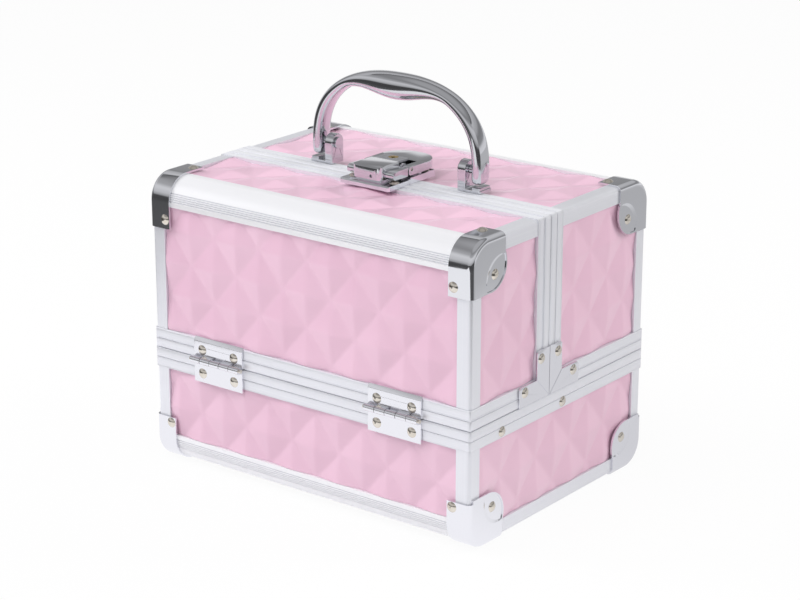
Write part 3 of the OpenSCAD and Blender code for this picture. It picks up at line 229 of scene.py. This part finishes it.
def side_mask(s, x, y, z):
    """Over 0 on the bars that run along Y in a frame seen from above."""
    across = s.math("SUBTRACT", HALF_W * MM, s.math("ABSOLUTE", x))
    down = s.math("SUBTRACT", HALF_D * MM, s.math("ABSOLUTE", y))
    return s.math("SUBTRACT", down, across)


def upright_mask(s, x, y, z):
    """Over 0 on the bars that run along Z in the frame round the top seam."""
    across = s.math("SUBTRACT", HALF_W * MM, s.math("ABSOLUTE", x))
    down = s.math("SUBTRACT", Z_TOP * MM, z)
    return s.math("SUBTRACT", down, across)


def chrome(name, color, rough):
    s = Shader(name, color, rough, 1.0)
    haze = s.noise(90, detail=5.0, rough=0.65)
    s.link(s.ramp(haze, 0.35, 0.8, rough, rough + 0.09), s.bsdf.inputs["Roughness"])
    ripple = s.noise(55, detail=1.0)
    s.bump(ripple, 0.10, 0.0006)
    return s.mat


def nickel():
    s = Shader("nickel", (226, 219, 208), 0.12, 1.0)
    marks = s.noise(900, detail=3.0)
    s.link(s.ramp(marks, 0.3, 0.7, 0.10, 0.2), s.bsdf.inputs["Roughness"])
    s.colour(s.ramp(s.noise(240), 0.3, 0.7, 0.0, 1.0), (220, 212, 199), (231, 225, 215))
    s.bump(marks, 0.15, 0.00005)
    return s.mat


def brass():
    s = Shader("brass", (214, 182, 104), 0.24, 1.0)
    turned = s.noise(1500, (1, 1, 6), detail=3.0)
    s.link(s.ramp(turned, 0.3, 0.7, 0.18, 0.36), s.bsdf.inputs["Roughness"])
    s.bump(turned, 0.2, 0.00005)
    return s.mat


def black_plastic():
    s = Shader("black_plastic", (26, 26, 28), 0.42)
    pores = s.node("ShaderNodeTexVoronoi")
    pores.inputs["Scale"].default_value = 1100
    s.link(s.position(), pores.inputs["Vector"])
    s.link(s.ramp(s.noise(120), 0.3, 0.7, 0.36, 0.5), s.bsdf.inputs["Roughness"])
    s.bump(pores.outputs["Distance"], 0.25, 0.00012)
    return s.mat


WEAVE = 0.0009  # pitch of the lining's weave, in metres


def lining():
    s = Shader("lining", (30, 30, 33), 0.9, Sheen_Weight=0.35, Sheen_Roughness=0.5)
    wave = [s.math("SINE", s.math("MULTIPLY", v, 2 * math.pi / WEAVE)) for v in s.place()]
    weave = s.math("MULTIPLY", s.math("ADD", wave[0], wave[1]), s.math("ADD", wave[2], 1.6))
    fuzz = s.noise(3000)
    s.colour(s.ramp(fuzz, 0.3, 0.7, 0.0, 1.0), (24, 24, 27), (38, 38, 42))
    s.bump(s.math("ADD", s.math("MULTIPLY", weave, 0.3), fuzz), 0.4, 0.0002)
    return s.mat


def board_back():
    s = Shader("black_board", (28, 28, 30), 0.7)
    fibre = s.noise(300, (1, 8, 1), detail=5.0)
    s.colour(s.ramp(fibre, 0.3, 0.7, 0.0, 1.0), (22, 22, 24), (36, 36, 38))
    s.bump(fibre, 0.3, 0.0002)
    return s.mat


def silvered():
    s = Shader("silvered_glass", (226, 232, 235), 0.02, 1.0)
    s.link(s.ramp(s.noise(40, detail=5.0), 0.5, 0.9, 0.015, 0.06), s.bsdf.inputs["Roughness"])
    return s.mat


M_PINK = embossed()
M_ALU_FRAME = drawn_aluminium("drawn_aluminium_rim", "x", "y", side_mask, beads=("Z", Z_SEAM, 0.16))
M_ALU_ARCH = drawn_aluminium(
    "drawn_aluminium_arch", "x", "z", upright_mask, beads=("Y", SEAM_Y, 0.3), metallic=(0.25, 0.5)
)
# Its colour has painted shade in the round profile's grooves
M_ALU_X = drawn_aluminium("drawn_aluminium_long", "x", ribbed_painted_shade=True, metallic=(0.32, 0.32))
M_ALU_Y = drawn_aluminium("drawn_aluminium_deep", "y")
M_ALU_Z = drawn_aluminium("drawn_aluminium_post", "z")
M_CHROME = chrome("chrome", (214, 215, 219), 0.05)
M_CAP = chrome("chrome_cap", (228, 229, 233), 0.05)
M_PLATE = chrome("bright_plate", (238, 238, 243), 0.13)
M_NICKEL = nickel()
M_BRASS = brass()
M_BLACK = black_plastic()
M_LINING = lining()
M_BOARD = board_back()
M_MIRROR = silvered()


# ---- The solids that stay, with worked edges ----


WELD = 2e-6  # metres between the points that are welded
WORKED = 35  # degrees between an edge's faces from which it is rounded
BOARD_SPLIT, SWAGE_SPLIT = 50, 40  # degrees from which an edge of a made piece stays sharp


def split_edges(o, degrees):
    o.modifiers.new("split", "EDGE_SPLIT").split_angle = math.radians(degrees)


def dress(name, material, edge=0.0, flat=16.0):
    """Gives a CAD node its material, welds its points, rounds its edges by edge millimetres and
    splits edges sharper than flat degrees, so that flat faces stay flat."""
    o = nodes[name]
    o.data.materials.clear()
    o.data.materials.append(material)
    for p in o.data.polygons:
        p.use_smooth = True
    weld = o.modifiers.new("weld", "WELD")
    weld.merge_threshold = WELD
    if edge:
        b = o.modifiers.new("edges", "BEVEL")
        b.width = edge * MM
        b.segments = 3 if edge > 0.4 else 2
        b.limit_method = "ANGLE"
        b.angle_limit = math.radians(WORKED)
    split_edges(o, flat)


DOME = 24  # degrees between the faces of a rivet head that stay smooth

DRESS = {
    "base_seam_rails": (M_ALU_FRAME, 0.25),
    "base_corner_posts": (M_ALU_Z, 0.15),
    "base_round_rails": (M_ALU_X, 0.0),
    "base_side_rails": (M_ALU_Y, 0.15),
    "base_corner_caps": (M_PLATE, 0.0),
    "base_floor_panel": (M_BOARD, 0.3),
    "base_liner": (M_LINING, 0.0),
    "base_rivets": (M_NICKEL, 0.0, DOME),
    "hinge_base_leaves": (M_PLATE, 0.12),
    "hinge_pins": (M_NICKEL, 0.2),
    "arm_base_rivets": (M_NICKEL, 0.0, DOME),
    "catch_plate": (M_PLATE, 0.25),
    "catch_block": (M_CHROME, 0.5),
    "lid_link_studs": (M_NICKEL, 0.15),
    "mirror_glass": (M_MIRROR, 0.3),
    "mirror_frame": (M_BLACK, 0.4),
    "handle_brackets": (M_CHROME, 0.35),
    "handle_pins": (M_CHROME, 0.2),
    "lock_base": (M_PLATE, 0.2),
    "lock_housing": (M_PLATE, 0.3),
    "lever_pins": (M_NICKEL, 0.15),
    "latch_lever": (M_CHROME, 0.9),
    "lock_cylinder": (M_BRASS, 0.1),
    "front_swing_arms": (M_NICKEL, 0.2),
    "rear_swing_arms": (M_NICKEL, 0.2),
    "lower_tray": (M_BLACK, 0.35),
    "upper_tray": (M_BLACK, 0.35),
    "lower_tray_rivets": (M_NICKEL, 0.15),
    "upper_tray_rivets": (M_NICKEL, 0.15),
}
for lid in ("front", "rear"):
    DRESS.update(
        {
            f"{lid}_lid_bottom_rails": (M_ALU_FRAME, 0.25),
            f"{lid}_lid_seam_rails": (M_ALU_ARCH, 0.25),
            f"{lid}_lid_corner_posts": (M_ALU_Z, 0.15),
            f"{lid}_lid_round_rail": (M_ALU_X, 0.0),
            f"{lid}_lid_side_rails": (M_ALU_Y, 0.15),
            f"{lid}_lid_corner_caps": (M_CAP, 0.0),
            f"{lid}_lid_corner_plates": (M_PLATE, 0.15),
            f"{lid}_lid_liner": (M_LINING, 0.0),
            f"{lid}_lid_rivets": (M_NICKEL, 0.0, DOME),
            f"hinge_{lid}_lid_leaves": (M_PLATE, 0.12),
        }
    )
for name, how in DRESS.items():
    dress(name, *how)


# ---- Embossed boards ----


def finish_piece(bm, name, material, body, stands_for):
    """Makes the mesh a smooth piece on a body that replaces the nodes in stands_for."""
    bmesh.ops.recalc_face_normals(bm, faces=bm.faces)
    mesh = bpy.data.meshes.new(name)
    bm.to_mesh(mesh)
    bm.free()
    o = bpy.data.objects.new(name, mesh)
    bpy.context.scene.collection.objects.link(o)
    mesh.materials.append(material)
    for p in mesh.polygons:
        p.use_smooth = True
    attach(o, body)
    if stands_for:
        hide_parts(*stands_for)
    return o


RIDGE, CROWN, ROOT = 0.05, 0.08, 0.025  # softness of ridges, fullness of facets, soft valleys


def diamond_height(u, v):
    """Height over the valleys, from 0 to 1. u and v are 0 at a valley crossing and 1 half a
    diamond on."""
    a, b = (1 - abs(math.fmod(abs(c), 2.0) - 1) for c in (u + v, u - v))
    h = max(RIDGE - abs(a - b), 0.0) / RIDGE
    low = min(a, b) - h * h * RIDGE / 4
    crown = low * (1.0 + CROWN * (1 - low))
    return math.sqrt(crown * crown + ROOT * ROOT) - ROOT


def window_lines(lo, hi, origin, step):
    """The window's edges and the lattice lines between them."""
    first = math.ceil((lo - origin) / step + 1e-6)
    last = math.floor((hi - origin) / step - 1e-6)
    return [lo] + [origin + k * step for k in range(first, last + 1)] + [hi]


STEPS = 12  # of the lattice in half a diamond
SINK = 0.4  # how far the skin's walls reach into the board


def relief(bm, window, origin, place):
    """Adds the closed embossed skin over the window (u0, u1, v0, v1), whose facets split along
    the valleys and ridges. place maps u, v and the height over the board, in millimetres, to a
    point."""
    u0, u1, v0, v1 = window
    ou, ov = origin
    du, dv = DIAMOND_W / 2 / STEPS, DIAMOND_H / 2 / STEPS
    us = window_lines(u0, u1, ou, du)
    vs = window_lines(v0, v1, ov, dv)
    grid = []
    for v in vs:
        row = []
        for u in us:
            h = RELIEF * diamond_height((u - ou) / (DIAMOND_W / 2), (v - ov) / (DIAMOND_H / 2))
            h += RELIEF_FOOT
            row.append(bm.verts.new(place(u, v, h)))
        grid.append(row)
    for j in range(len(vs) - 1):
        for i in range(len(us) - 1):
            a, b = grid[j][i], grid[j][i + 1]
            c, d = grid[j + 1][i + 1], grid[j + 1][i]
            ku, kv = round((us[i] - ou) / du), round((vs[j] - ov) / dv)
            if (ku + kv + 1) % (2 * STEPS) == 0:
                bm.faces.new((a, b, d))
                bm.faces.new((b, c, d))
            else:
                bm.faces.new((a, b, c))
                bm.faces.new((a, c, d))
    rim = (
        [grid[0][i] for i in range(len(us))]
        + [grid[j][-1] for j in range(1, len(vs))]
        + [grid[-1][i] for i in range(len(us) - 2, -1, -1)]
        + [grid[j][0] for j in range(len(vs) - 2, 0, -1)]
    )
    where = (
        [(u, vs[0]) for u in us]
        + [(us[-1], v) for v in vs[1:]]
        + [(u, vs[-1]) for u in us[-2::-1]]
        + [(us[0], v) for v in vs[-2:0:-1]]
    )
    foot = [bm.verts.new(place(u, v, -SINK)) for u, v in where]
    for k in range(len(rim)):
        m = (k + 1) % len(rim)
        bm.faces.new((rim[k], foot[k], foot[m], rim[m]))
    bm.faces.new(foot)


def add_box(bm, lo, hi):
    """A closed box between two corners in millimetres."""
    size = [b - a for a, b in zip(lo, hi)]
    mid = [(a + b) / 2 * MM for a, b in zip(lo, hi)]
    made = bmesh.ops.create_cube(bm, size=1.0)["verts"]
    bmesh.ops.scale(bm, vec=[s * MM for s in size], verts=made)
    bmesh.ops.translate(bm, vec=mid, verts=made)


def mm(x, y, z):
    return Vector((x * MM, y * MM, z * MM))


GAP = 0.12  # between an embossed field and the profiles round it
INSET = 0.5  # of the other profiles' outer faces from the seam rails'
ANGLE_LEG, RAIL_LEG = 8.0, 10.3  # of the corner and side angles, and of the seam rails
# Where the fields start: from the case's outer faces, and from a seam rail's edge at the seam
POST = INSET + ANGLE_LEG + GAP
RAIL = RAIL_LEG + GAP
ROUND = INSET + ROUND_LEG + GAP
SEAM = 0.2  # half the gap at the seams
LID_Z, RIM_Z = Z_SEAM + SEAM, Z_SEAM - SEAM
FRONT_END, REAR_END = SEAM_Y - SEAM, SEAM_Y + SEAM


def board(name, fields, boxes, body, node):
    """A piece of boards (boxes, as two corners each) with embossed fields on them."""
    bm = bmesh.new()
    for window, origin, place in fields:
        relief(bm, window, origin, place)
    for lo, hi in boxes:
        add_box(bm, lo, hi)
    split_edges(finish_piece(bm, name, M_PINK, body, (node,)), BOARD_SPLIT)


def face_place(s):
    """Front face for s = -1, rear face for s = 1."""
    return lambda u, v, h: mm(u, s * (HALF_D - BOARD_OUT + h), v)


def side_place(s):
    """Left side for s = -1, right side for s = 1."""
    return lambda u, v, h: mm(s * (HALF_W - BOARD_OUT + h), u, v)


def top_place(u, v, h):
    return mm(u, v, Z_TOP - BOARD_OUT + h)


# Valley crossings of the lattices: (along X, up) on front and rear, (along Y, up) on the sides,
# (along X, along Y) on top
LATTICE_Z, LATTICE_BASE_Z = Z_SEAM + 47.0, Z_SEAM - 31.0
FACE_LATTICE, FACE_BASE_LATTICE = (15.0, LATTICE_Z), (-10.5, LATTICE_BASE_Z)
SIDE_LATTICE, SIDE_BASE_LATTICE = (12.0, LATTICE_Z), (12.0, LATTICE_BASE_Z)
TOP_LATTICE = (15.0, 9.0)

XW = HALF_W - POST  # the fields' half width
X_IN, Y_IN, Z_IN = HALF_W - BOARD_IN, HALF_D - BOARD_IN, Z_TOP - BOARD_IN
X_OUT, Y_OUT, Z_OUT = HALF_W - BOARD_OUT, HALF_D - BOARD_OUT, Z_TOP - BOARD_OUT
SLOT = 1.5  # from a seam rail's edge at the seam to the board in it
ROUND_SLOT = 13.0  # the same in the top round profiles
BASE_ROUND_SLOT, BASE_SLOT = 12.5, 4.9  # from the lower profiles' undersides


def side_boxes(y0, y1, z0, z1):
    """The two boards of the sides, as two corners each."""
    return [
        ((min(s * X_IN, s * X_OUT), y0, z0), (max(s * X_IN, s * X_OUT), y1, z1)) for s in (-1, 1)
    ]


def side_fields(window, lattice):
    return [(window, lattice, side_place(s)) for s in (-1, 1)]


for s, end in ((-1, "front"), (1, "rear")):
    y0, y1 = sorted((s * Y_OUT, s * Y_IN))
    field = (-XW, XW, BASE_Z + ROUND_LEG + GAP, RIM_Z - RAIL)
    board(
        f"embossed_base_{end}",
        [(field, FACE_BASE_LATTICE, face_place(s))],
        [((-X_OUT, y0, BASE_Z + BASE_ROUND_SLOT), (X_OUT, y1, RIM_Z - SLOT))],
        "base",
        f"base_{end}_panel",
    )
    field = (-XW, XW, LID_Z + RAIL, Z_TOP - ROUND)
    board(
        f"embossed_{end}_lid_{end}",
        [(field, FACE_LATTICE, face_place(s))],
        [((-X_OUT, y0, LID_Z + SLOT), (X_OUT, y1, Z_TOP - ROUND_SLOT))],
        f"{end}_lid",
        f"{end}_lid_{end}_panel",
    )
field = (-HALF_D + POST, HALF_D - POST, BASE_Z + ANGLE_LEG + GAP, RIM_Z - RAIL)
board(
    "embossed_base_sides",
    side_fields(field, SIDE_BASE_LATTICE),
    side_boxes(-Y_IN, Y_IN, BASE_Z + BASE_SLOT, RIM_Z - SLOT),
    "base",
    "base_side_panels",
)
# Each lid from its face to the seam: edges of the side and top fields, then of their boards
for end, side_ends, top_ends, side_slots, top_slots in (
    (
        "front",
        (-HALF_D + POST, FRONT_END - RAIL),
        (-HALF_D + ROUND, FRONT_END - RAIL),
        (-Y_IN, FRONT_END - SLOT),
        (-HALF_D + ROUND_SLOT, FRONT_END - SLOT),
    ),
    (
        "rear",
        (REAR_END + RAIL, HALF_D - POST),
        (REAR_END + RAIL, HALF_D - ROUND),
        (REAR_END + SLOT, Y_IN),
        (REAR_END + SLOT, HALF_D - ROUND_SLOT),
    ),
):
    board(
        f"embossed_{end}_lid_sides",
        side_fields((*side_ends, LID_Z + RAIL, Z_TOP - POST), SIDE_LATTICE),
        side_boxes(*side_slots, LID_Z + SLOT, Z_IN),
        f"{end}_lid",
        f"{end}_lid_side_panels",
    )
    board(
        f"embossed_{end}_lid_top",
        [((-XW, XW, *top_ends), TOP_LATTICE, top_place)],
        [((-X_OUT, top_slots[0], Z_IN), (X_OUT, top_slots[1], Z_OUT))],
        f"{end}_lid",
        f"{end}_lid_top_panel",
    )


# ---- Swaged steps of the corner caps ----

PROUD, LAND_PROUD = 0.5, 0.1  # of the caps over the profiles, and of their rivets' lands
# Outer faces of the caps, of their raised plates and of the lands that carry the rivets
CAP_Y, CAP_TOP = HALF_D + PROUD, Z_TOP + PROUD
PLATE_X, LAND_X = HALF_W + PROUD, HALF_W + LAND_PROUD
# In a cap's side, from its outer front face inwards (u) and from its upper face down (v)
STEP_MID, STEP_R = (23.0, 21.3), 11.7
WING_MID, WING_R = (15.5, 14.5), 11.6
EDGE = 0.1  # kept free at the wing's edge
SWAGE_W, SWAGE_TIP, SWAGE_H = 2.0, 0.12, 0.16  # greatest width, width at the tips, mid height
SWAGE_FULL = 0.7  # power of the width's sine along the arc; less than 1 is fuller
SWAGE_LOW, SWAGE_SINK = 0.02, 0.03  # under the plate's face and into the land
SWAGE_STEP = 4  # of the arc's points, from one section to the next


def step_arc():
    """Points and angles of the step's foot on the land, every half degree within the wing."""
    points = []
    for k in range(721):
        f = math.radians(k / 2)
        u, v = STEP_MID[0] + STEP_R * math.cos(f), STEP_MID[1] + STEP_R * math.sin(f)
        in_round = math.hypot(u - WING_MID[0], v - WING_MID[1]) < WING_R - EDGE
        in_square = EDGE < u < WING_MID[0] and EDGE < v < WING_MID[1] + WING_R - EDGE
        if in_round or in_square:
            points.append((u, v, f))
    return points


def swages(name, body, corners):
    """Sloped crescents between the raised plates and the rivet lands, at corners given by
    side, end and whether they are upper ones."""
    arc = step_arc()[::SWAGE_STEP]
    bm = bmesh.new()
    for side, end, upper in corners:

        def at(u, v, x):
            return mm(side * x, end * (CAP_Y - u), CAP_TOP - v if upper else v)

        rings = []
        for k, (u, v, f) in enumerate(arc):
            wide = SWAGE_TIP + SWAGE_W * math.sin(math.pi * k / (len(arc) - 1)) ** SWAGE_FULL
            du, dv = -wide * math.cos(f), -wide * math.sin(f)
            section = (
                (u, v, PLATE_X - SWAGE_LOW),
                (u, v, LAND_X - SWAGE_SINK),
                (u + du, v + dv, LAND_X - SWAGE_SINK),
                (u + du / 2, v + dv / 2, LAND_X + SWAGE_H),
            )
            rings.append([bm.verts.new(at(*p)) for p in section])
        for a, b in zip(rings, rings[1:]):
            for j in range(4):
                m = (j + 1) % 4
                bm.faces.new((a[j], a[m], b[m], b[j]))
        bm.faces.new(rings[0])
        bm.faces.new(rings[-1])
    material = M_PLATE if body == "base" else M_CAP
    split_edges(finish_piece(bm, name, material, body, None), SWAGE_SPLIT)


swages("swages_front_lid", "front_lid", [(s, -1, True) for s in (-1, 1)])
swages("swages_rear_lid", "rear_lid", [(s, 1, True) for s in (-1, 1)])
swages("swages_base", "base", [(s, e, False) for s in (-1, 1) for e in (-1, 1)])


# ---- Handle ----

HANDLE_Y = SEAM_Y + 11.4  # the handle stands behind the seam, on the rear lid
ARCH_HALF_W, ARCH_H, ARCH_POWER = 53.4, 40.5, 2.33  # outer outline, a superellipse
ARCH_Z = 12.0  # from the top to the arch's springing
SWELL_X = 35.0  # the grip swells within this distance from the middle
BAR_TN, BAR_TY = 2.8, 5.2  # half sizes of the bar in the arch's plane and across it
SWELL_TN, SWELL_TY = 3.9, 2.3
LEG_TN, LEG_RISE = 3.3, 20.0
# The feet's heights over the top and shares of the full section, from below
FOOT = (
    (4.0, 0.2), (4.05, 0.45), (4.3, 0.64), (4.7, 0.78),
    (5.3, 0.9), (6.2, 0.97), (7.6, 1.0), (9.8, 1.0),
)
SQUARENESS = 0.85  # 1 is an ellipse, less is squarer
ARCH_STEPS, ARCH_SIDES = 96, 32  # of the arch along its line and round its section


def spow(c, p):
    """c to the power p with c's sign."""
    return math.copysign(abs(c) ** p, c)


def handle_rings():
    """Rings of the arch as centre (x, z over the top), outward direction and half sizes."""
    a, b, n = ARCH_HALF_W, ARCH_H, ARCH_POWER
    arch = []
    for i in range(ARCH_STEPS + 1):
        f = math.pi * i / ARCH_STEPS
        p = (a * spow(math.cos(f), 2 / n), b * spow(math.sin(f), 2 / n))
        g = (spow(math.cos(f), 2 - 2 / n) / a, spow(math.sin(f), 2 - 2 / n) / b)
        k = math.hypot(*g)
        g = (g[0] / k, g[1] / k)
        swell = (1 - (p[0] / SWELL_X) ** 2) ** 2 if abs(p[0]) < SWELL_X else 0.0
        leg = max(0.0, min(1.0, (abs(p[0]) - a + LEG_RISE) / LEG_RISE))
        tn = BAR_TN + SWELL_TN * swell + (LEG_TN - BAR_TN) * leg
        ty = BAR_TY + SWELL_TY * swell
        arch.append((p[0] - g[0] * tn, ARCH_Z + p[1] - g[1] * tn, g, tn, ty))
    right = [(a - LEG_TN, z, (1, 0), LEG_TN * k, BAR_TY * k) for z, k in FOOT]
    left = [(-x, z, (-1, 0), t, w) for x, z, _, t, w in reversed(right)]
    return right + arch + left


def handle():
    bm = bmesh.new()
    rings = []
    for x, z, g, tn, ty in handle_rings():
        ring = []
        for j in range(ARCH_SIDES):
            f = 2 * math.pi * j / ARCH_SIDES
            u, v = (t * spow(c, SQUARENESS) for t, c in ((tn, math.cos(f)), (ty, math.sin(f))))
            ring.append(bm.verts.new(mm(x + g[0] * u, HANDLE_Y + v, Z_TOP + z + g[1] * u)))
        rings.append(ring)
    for a, b in zip(rings, rings[1:]):
        for j in range(ARCH_SIDES):
            k = (j + 1) % ARCH_SIDES
            bm.faces.new((a[j], a[k], b[k], b[j]))
    bm.faces.new(rings[0])
    bm.faces.new(rings[-1])
    finish_piece(bm, "handle_arch", M_CHROME, "carry_handle", ("handle",))


handle()


# ---- Floor, light and camera ----


COOL = 1.02  # blue of what metal sees, over its red and green
BLEND_Y = 0.1  # front and rear blend where y is nearer to 0 than this


def graded(tree, fac, stops):
    """fac becomes the brightness that the stops (fac, brightness) give."""
    n = tree.nodes.new("ShaderNodeValToRGB")
    ramp = n.color_ramp
    ramp.interpolation = "EASE"
    while len(ramp.elements) < len(stops):
        ramp.elements.new(0.5)
    for e, (at, v) in zip(ramp.elements, stops):
        e.position = at
        e.color = (v, v, v * COOL, 1.0)
    tree.links.new(fac, n.inputs["Fac"])
    return n.outputs["Color"]


def front_or_rear(tree, y, front, rear):
    """The front's brightness where y is well below 0, and the rear's where it is well above."""
    part = tree.nodes.new("ShaderNodeMapRange")
    part.interpolation_type = "SMOOTHSTEP"
    part.inputs["From Min"].default_value = BLEND_Y
    part.inputs["From Max"].default_value = -BLEND_Y
    tree.links.new(y, part.inputs["Value"])
    mix = tree.nodes.new("ShaderNodeMix")
    mix.data_type = "RGBA"
    tree.links.new(part.outputs[0], mix.inputs[0])
    tree.links.new(rear, mix.inputs[6])
    tree.links.new(front, mix.inputs[7])
    return mix.outputs[2]


def any_of(tree, rays, *names):
    """1 for a ray of any of these kinds, else 0."""
    out = rays.outputs[names[0]]
    for name in names[1:]:
        n = tree.nodes.new("ShaderNodeMath")
        n.operation = "MAXIMUM"
        tree.links.new(out, n.inputs[0])
        tree.links.new(rays.outputs[name], n.inputs[1])
        out = n.outputs[0]
    return out


# What metal sees. Brightness of the floor by its distance from the middle in metres: to the
# left or right in front of the case, and to any side behind it
FLOOR_FRONT = ((0.0, 1.0), (0.325, 1.0), (0.345, 0.10), (0.9, 0.07))
FLOOR_REAR = ((0.0, 0.70), (0.36, 0.72), (0.46, 0.52), (0.7, 0.5), (1.0, 0.6))
# Brightness of the studio by the sine of the elevation
SKY_FRONT = (
    (0.0, 0.07), (0.07, 0.08), (0.16, 0.42), (0.3, 0.62),
    (0.5, 0.72), (0.66, 0.42), (0.78, 0.3), (0.92, 0.45),
)
SKY_REAR = (
    (0.0, 0.85), (0.08, 0.8), (0.2, 0.32), (0.34, 0.27), (0.5, 0.5),
    (0.655, 0.62), (0.685, 0.12), (0.74, 0.27), (0.92, 0.45),
)
FILL = 0.375  # the world's strength for matt surfaces
FLOOR_WHITE = 0.94  # the white part of what the camera sees of the floor; the rest is lit
FLOOR_SIZE, FLOOR_GAP = 15.0, 0.2  # in metres, and in millimetres under the caps


def floor():
    bm = bmesh.new()
    bmesh.ops.create_grid(bm, x_segments=2, y_segments=2, size=FLOOR_SIZE)
    mesh = bpy.data.meshes.new("floor")
    bm.to_mesh(mesh)
    bm.free()
    o = bpy.data.objects.new("floor", mesh)
    bpy.context.scene.collection.objects.link(o)
    o.location = (0, 0, -FLOOR_GAP * MM)

    s = Shader("floor", (232, 231, 232), 0.8)
    s.link(s.ramp(s.noise(6), 0.3, 0.7, 0.75, 0.85), s.bsdf.inputs["Roughness"])
    s.mat.cycles.emission_sampling = "NONE"
    tree = s.tree
    rays = tree.nodes.new("ShaderNodeLightPath")
    x, y, _ = s.place()
    aside = s.math("ABSOLUTE", x)
    away = s.math("SQRT", s.math("ADD", s.math("MULTIPLY", x, x), s.math("MULTIPLY", y, y)))
    near = front_or_rear(
        tree, y, graded(tree, aside, FLOOR_FRONT), graded(tree, away, FLOOR_REAR)
    )

    # The camera sees a white floor with the case's shadow on it
    white = tree.nodes.new("ShaderNodeEmission")
    part = tree.nodes.new("ShaderNodeMath")
    part.operation = "MULTIPLY"
    part.inputs[1].default_value = FLOOR_WHITE
    tree.links.new(rays.outputs["Is Camera Ray"], part.inputs[0])
    seen = tree.nodes.new("ShaderNodeMixShader")
    tree.links.new(part.outputs[0], seen.inputs[0])
    tree.links.new(s.bsdf.outputs[0], seen.inputs[1])
    tree.links.new(white.outputs[0], seen.inputs[2])
    # Metal and glass see a painted glow instead, graded by the brightness above
    glow = tree.nodes.new("ShaderNodeEmission")
    tree.links.new(near, glow.inputs["Color"])
    both = tree.nodes.new("ShaderNodeMixShader")
    tree.links.new(any_of(tree, rays, "Is Glossy Ray", "Is Transmission Ray"), both.inputs[0])
    tree.links.new(seen.outputs[0], both.inputs[1])
    tree.links.new(glow.outputs[0], both.inputs[2])
    tree.links.new(both.outputs[0], tree.nodes["Material Output"].inputs["Surface"])
    mesh.materials.append(s.mat)


def studio():
    world = bpy.data.worlds.new("studio")
    bpy.context.scene.world = world
    world.use_nodes = True
    world.cycles.sampling_method = "NONE"
    tree = world.node_tree
    tree.nodes.clear()
    out = tree.nodes.new("ShaderNodeOutputWorld")
    rays = tree.nodes.new("ShaderNodeLightPath")
    where = tree.nodes.new("ShaderNodeTexCoord")
    split = tree.nodes.new("ShaderNodeSeparateXYZ")
    tree.links.new(where.outputs["Generated"], split.inputs[0])
    _, y, z = split.outputs
    sky = front_or_rear(tree, y, graded(tree, z, SKY_FRONT), graded(tree, z, SKY_REAR))
    glow = tree.nodes.new("ShaderNodeBackground")
    tree.links.new(sky, glow.inputs["Color"])
    plain = tree.nodes.new("ShaderNodeBackground")
    plain.inputs["Color"].default_value = (1, 1, 1, 1)
    # The camera sees white, and matt surfaces get a soft fill
    part = tree.nodes.new("ShaderNodeMapRange")
    part.inputs["To Min"].default_value = FILL
    part.inputs["To Max"].default_value = 1.0
    tree.links.new(rays.outputs["Is Camera Ray"], part.inputs["Value"])
    tree.links.new(part.outputs[0], plain.inputs["Strength"])
    both = tree.nodes.new("ShaderNodeMixShader")
    tree.links.new(any_of(tree, rays, "Is Glossy Ray", "Is Transmission Ray"), both.inputs[0])
    tree.links.new(plain.outputs[0], both.inputs[1])
    tree.links.new(glow.outputs[0], both.inputs[2])
    tree.links.new(both.outputs[0], out.inputs["Surface"])


floor()
studio()


LAMP_AIM, LAMP_FAR = 0.09, 1.6  # height that the lamps look at, and their distance from it


def softbox(name, energy, size, azimuth, elevation, color=(1, 1, 1)):
    """An area lamp that looks at the case from an azimuth (0 is the front, 90 the right) and
    elevation. Metal sees the graded studio instead of it."""
    light = bpy.data.lights.new(name, "AREA")
    light.energy = energy
    light.color = color
    light.shape = "RECTANGLE"
    light.size = light.size_y = size
    o = bpy.data.objects.new(name, light)
    bpy.context.scene.collection.objects.link(o)
    a, e = math.radians(azimuth), math.radians(elevation)
    back = Vector((math.sin(a) * math.cos(e), -math.cos(a) * math.cos(e), math.sin(e)))
    o.location = Vector((0, 0, LAMP_AIM)) + back * LAMP_FAR
    o.rotation_mode = "QUATERNION"
    o.rotation_quaternion = (-back).to_track_quat("-Z", "Y")
    o.visible_glossy = False


softbox("key", energy=12.2, size=0.7, azimuth=-65, elevation=27)
softbox("top", energy=15.6, size=1.2, azimuth=-8, elevation=66)
softbox("right", energy=13.2, size=0.8, azimuth=138, elevation=27, color=(1.0, 0.985, 0.94))

# The camera as solved from the photograph
CAM_AZ, CAM_EL = 37.69, 18.29
CAM_PLACE = (0.69515, -0.89862, 0.46275)
CAM_LENS, CAM_SENSOR = 105.61, 36.0
camera_data = bpy.data.cameras.new("camera")
camera_data.lens = CAM_LENS
camera_data.sensor_width = CAM_SENSOR
camera = bpy.data.objects.new("camera", camera_data)
bpy.context.scene.collection.objects.link(camera)
camera.location = CAM_PLACE
a, e = math.radians(CAM_AZ), math.radians(CAM_EL)
ahead = Vector((-math.sin(a) * math.cos(e), math.cos(a) * math.cos(e), -math.sin(e)))
camera.rotation_mode = "QUATERNION"
camera.rotation_quaternion = ahead.to_track_quat("-Z", "Y")
bpy.context.scene.camera = camera

bpy.context.scene.view_settings.view_transform = "Standard"
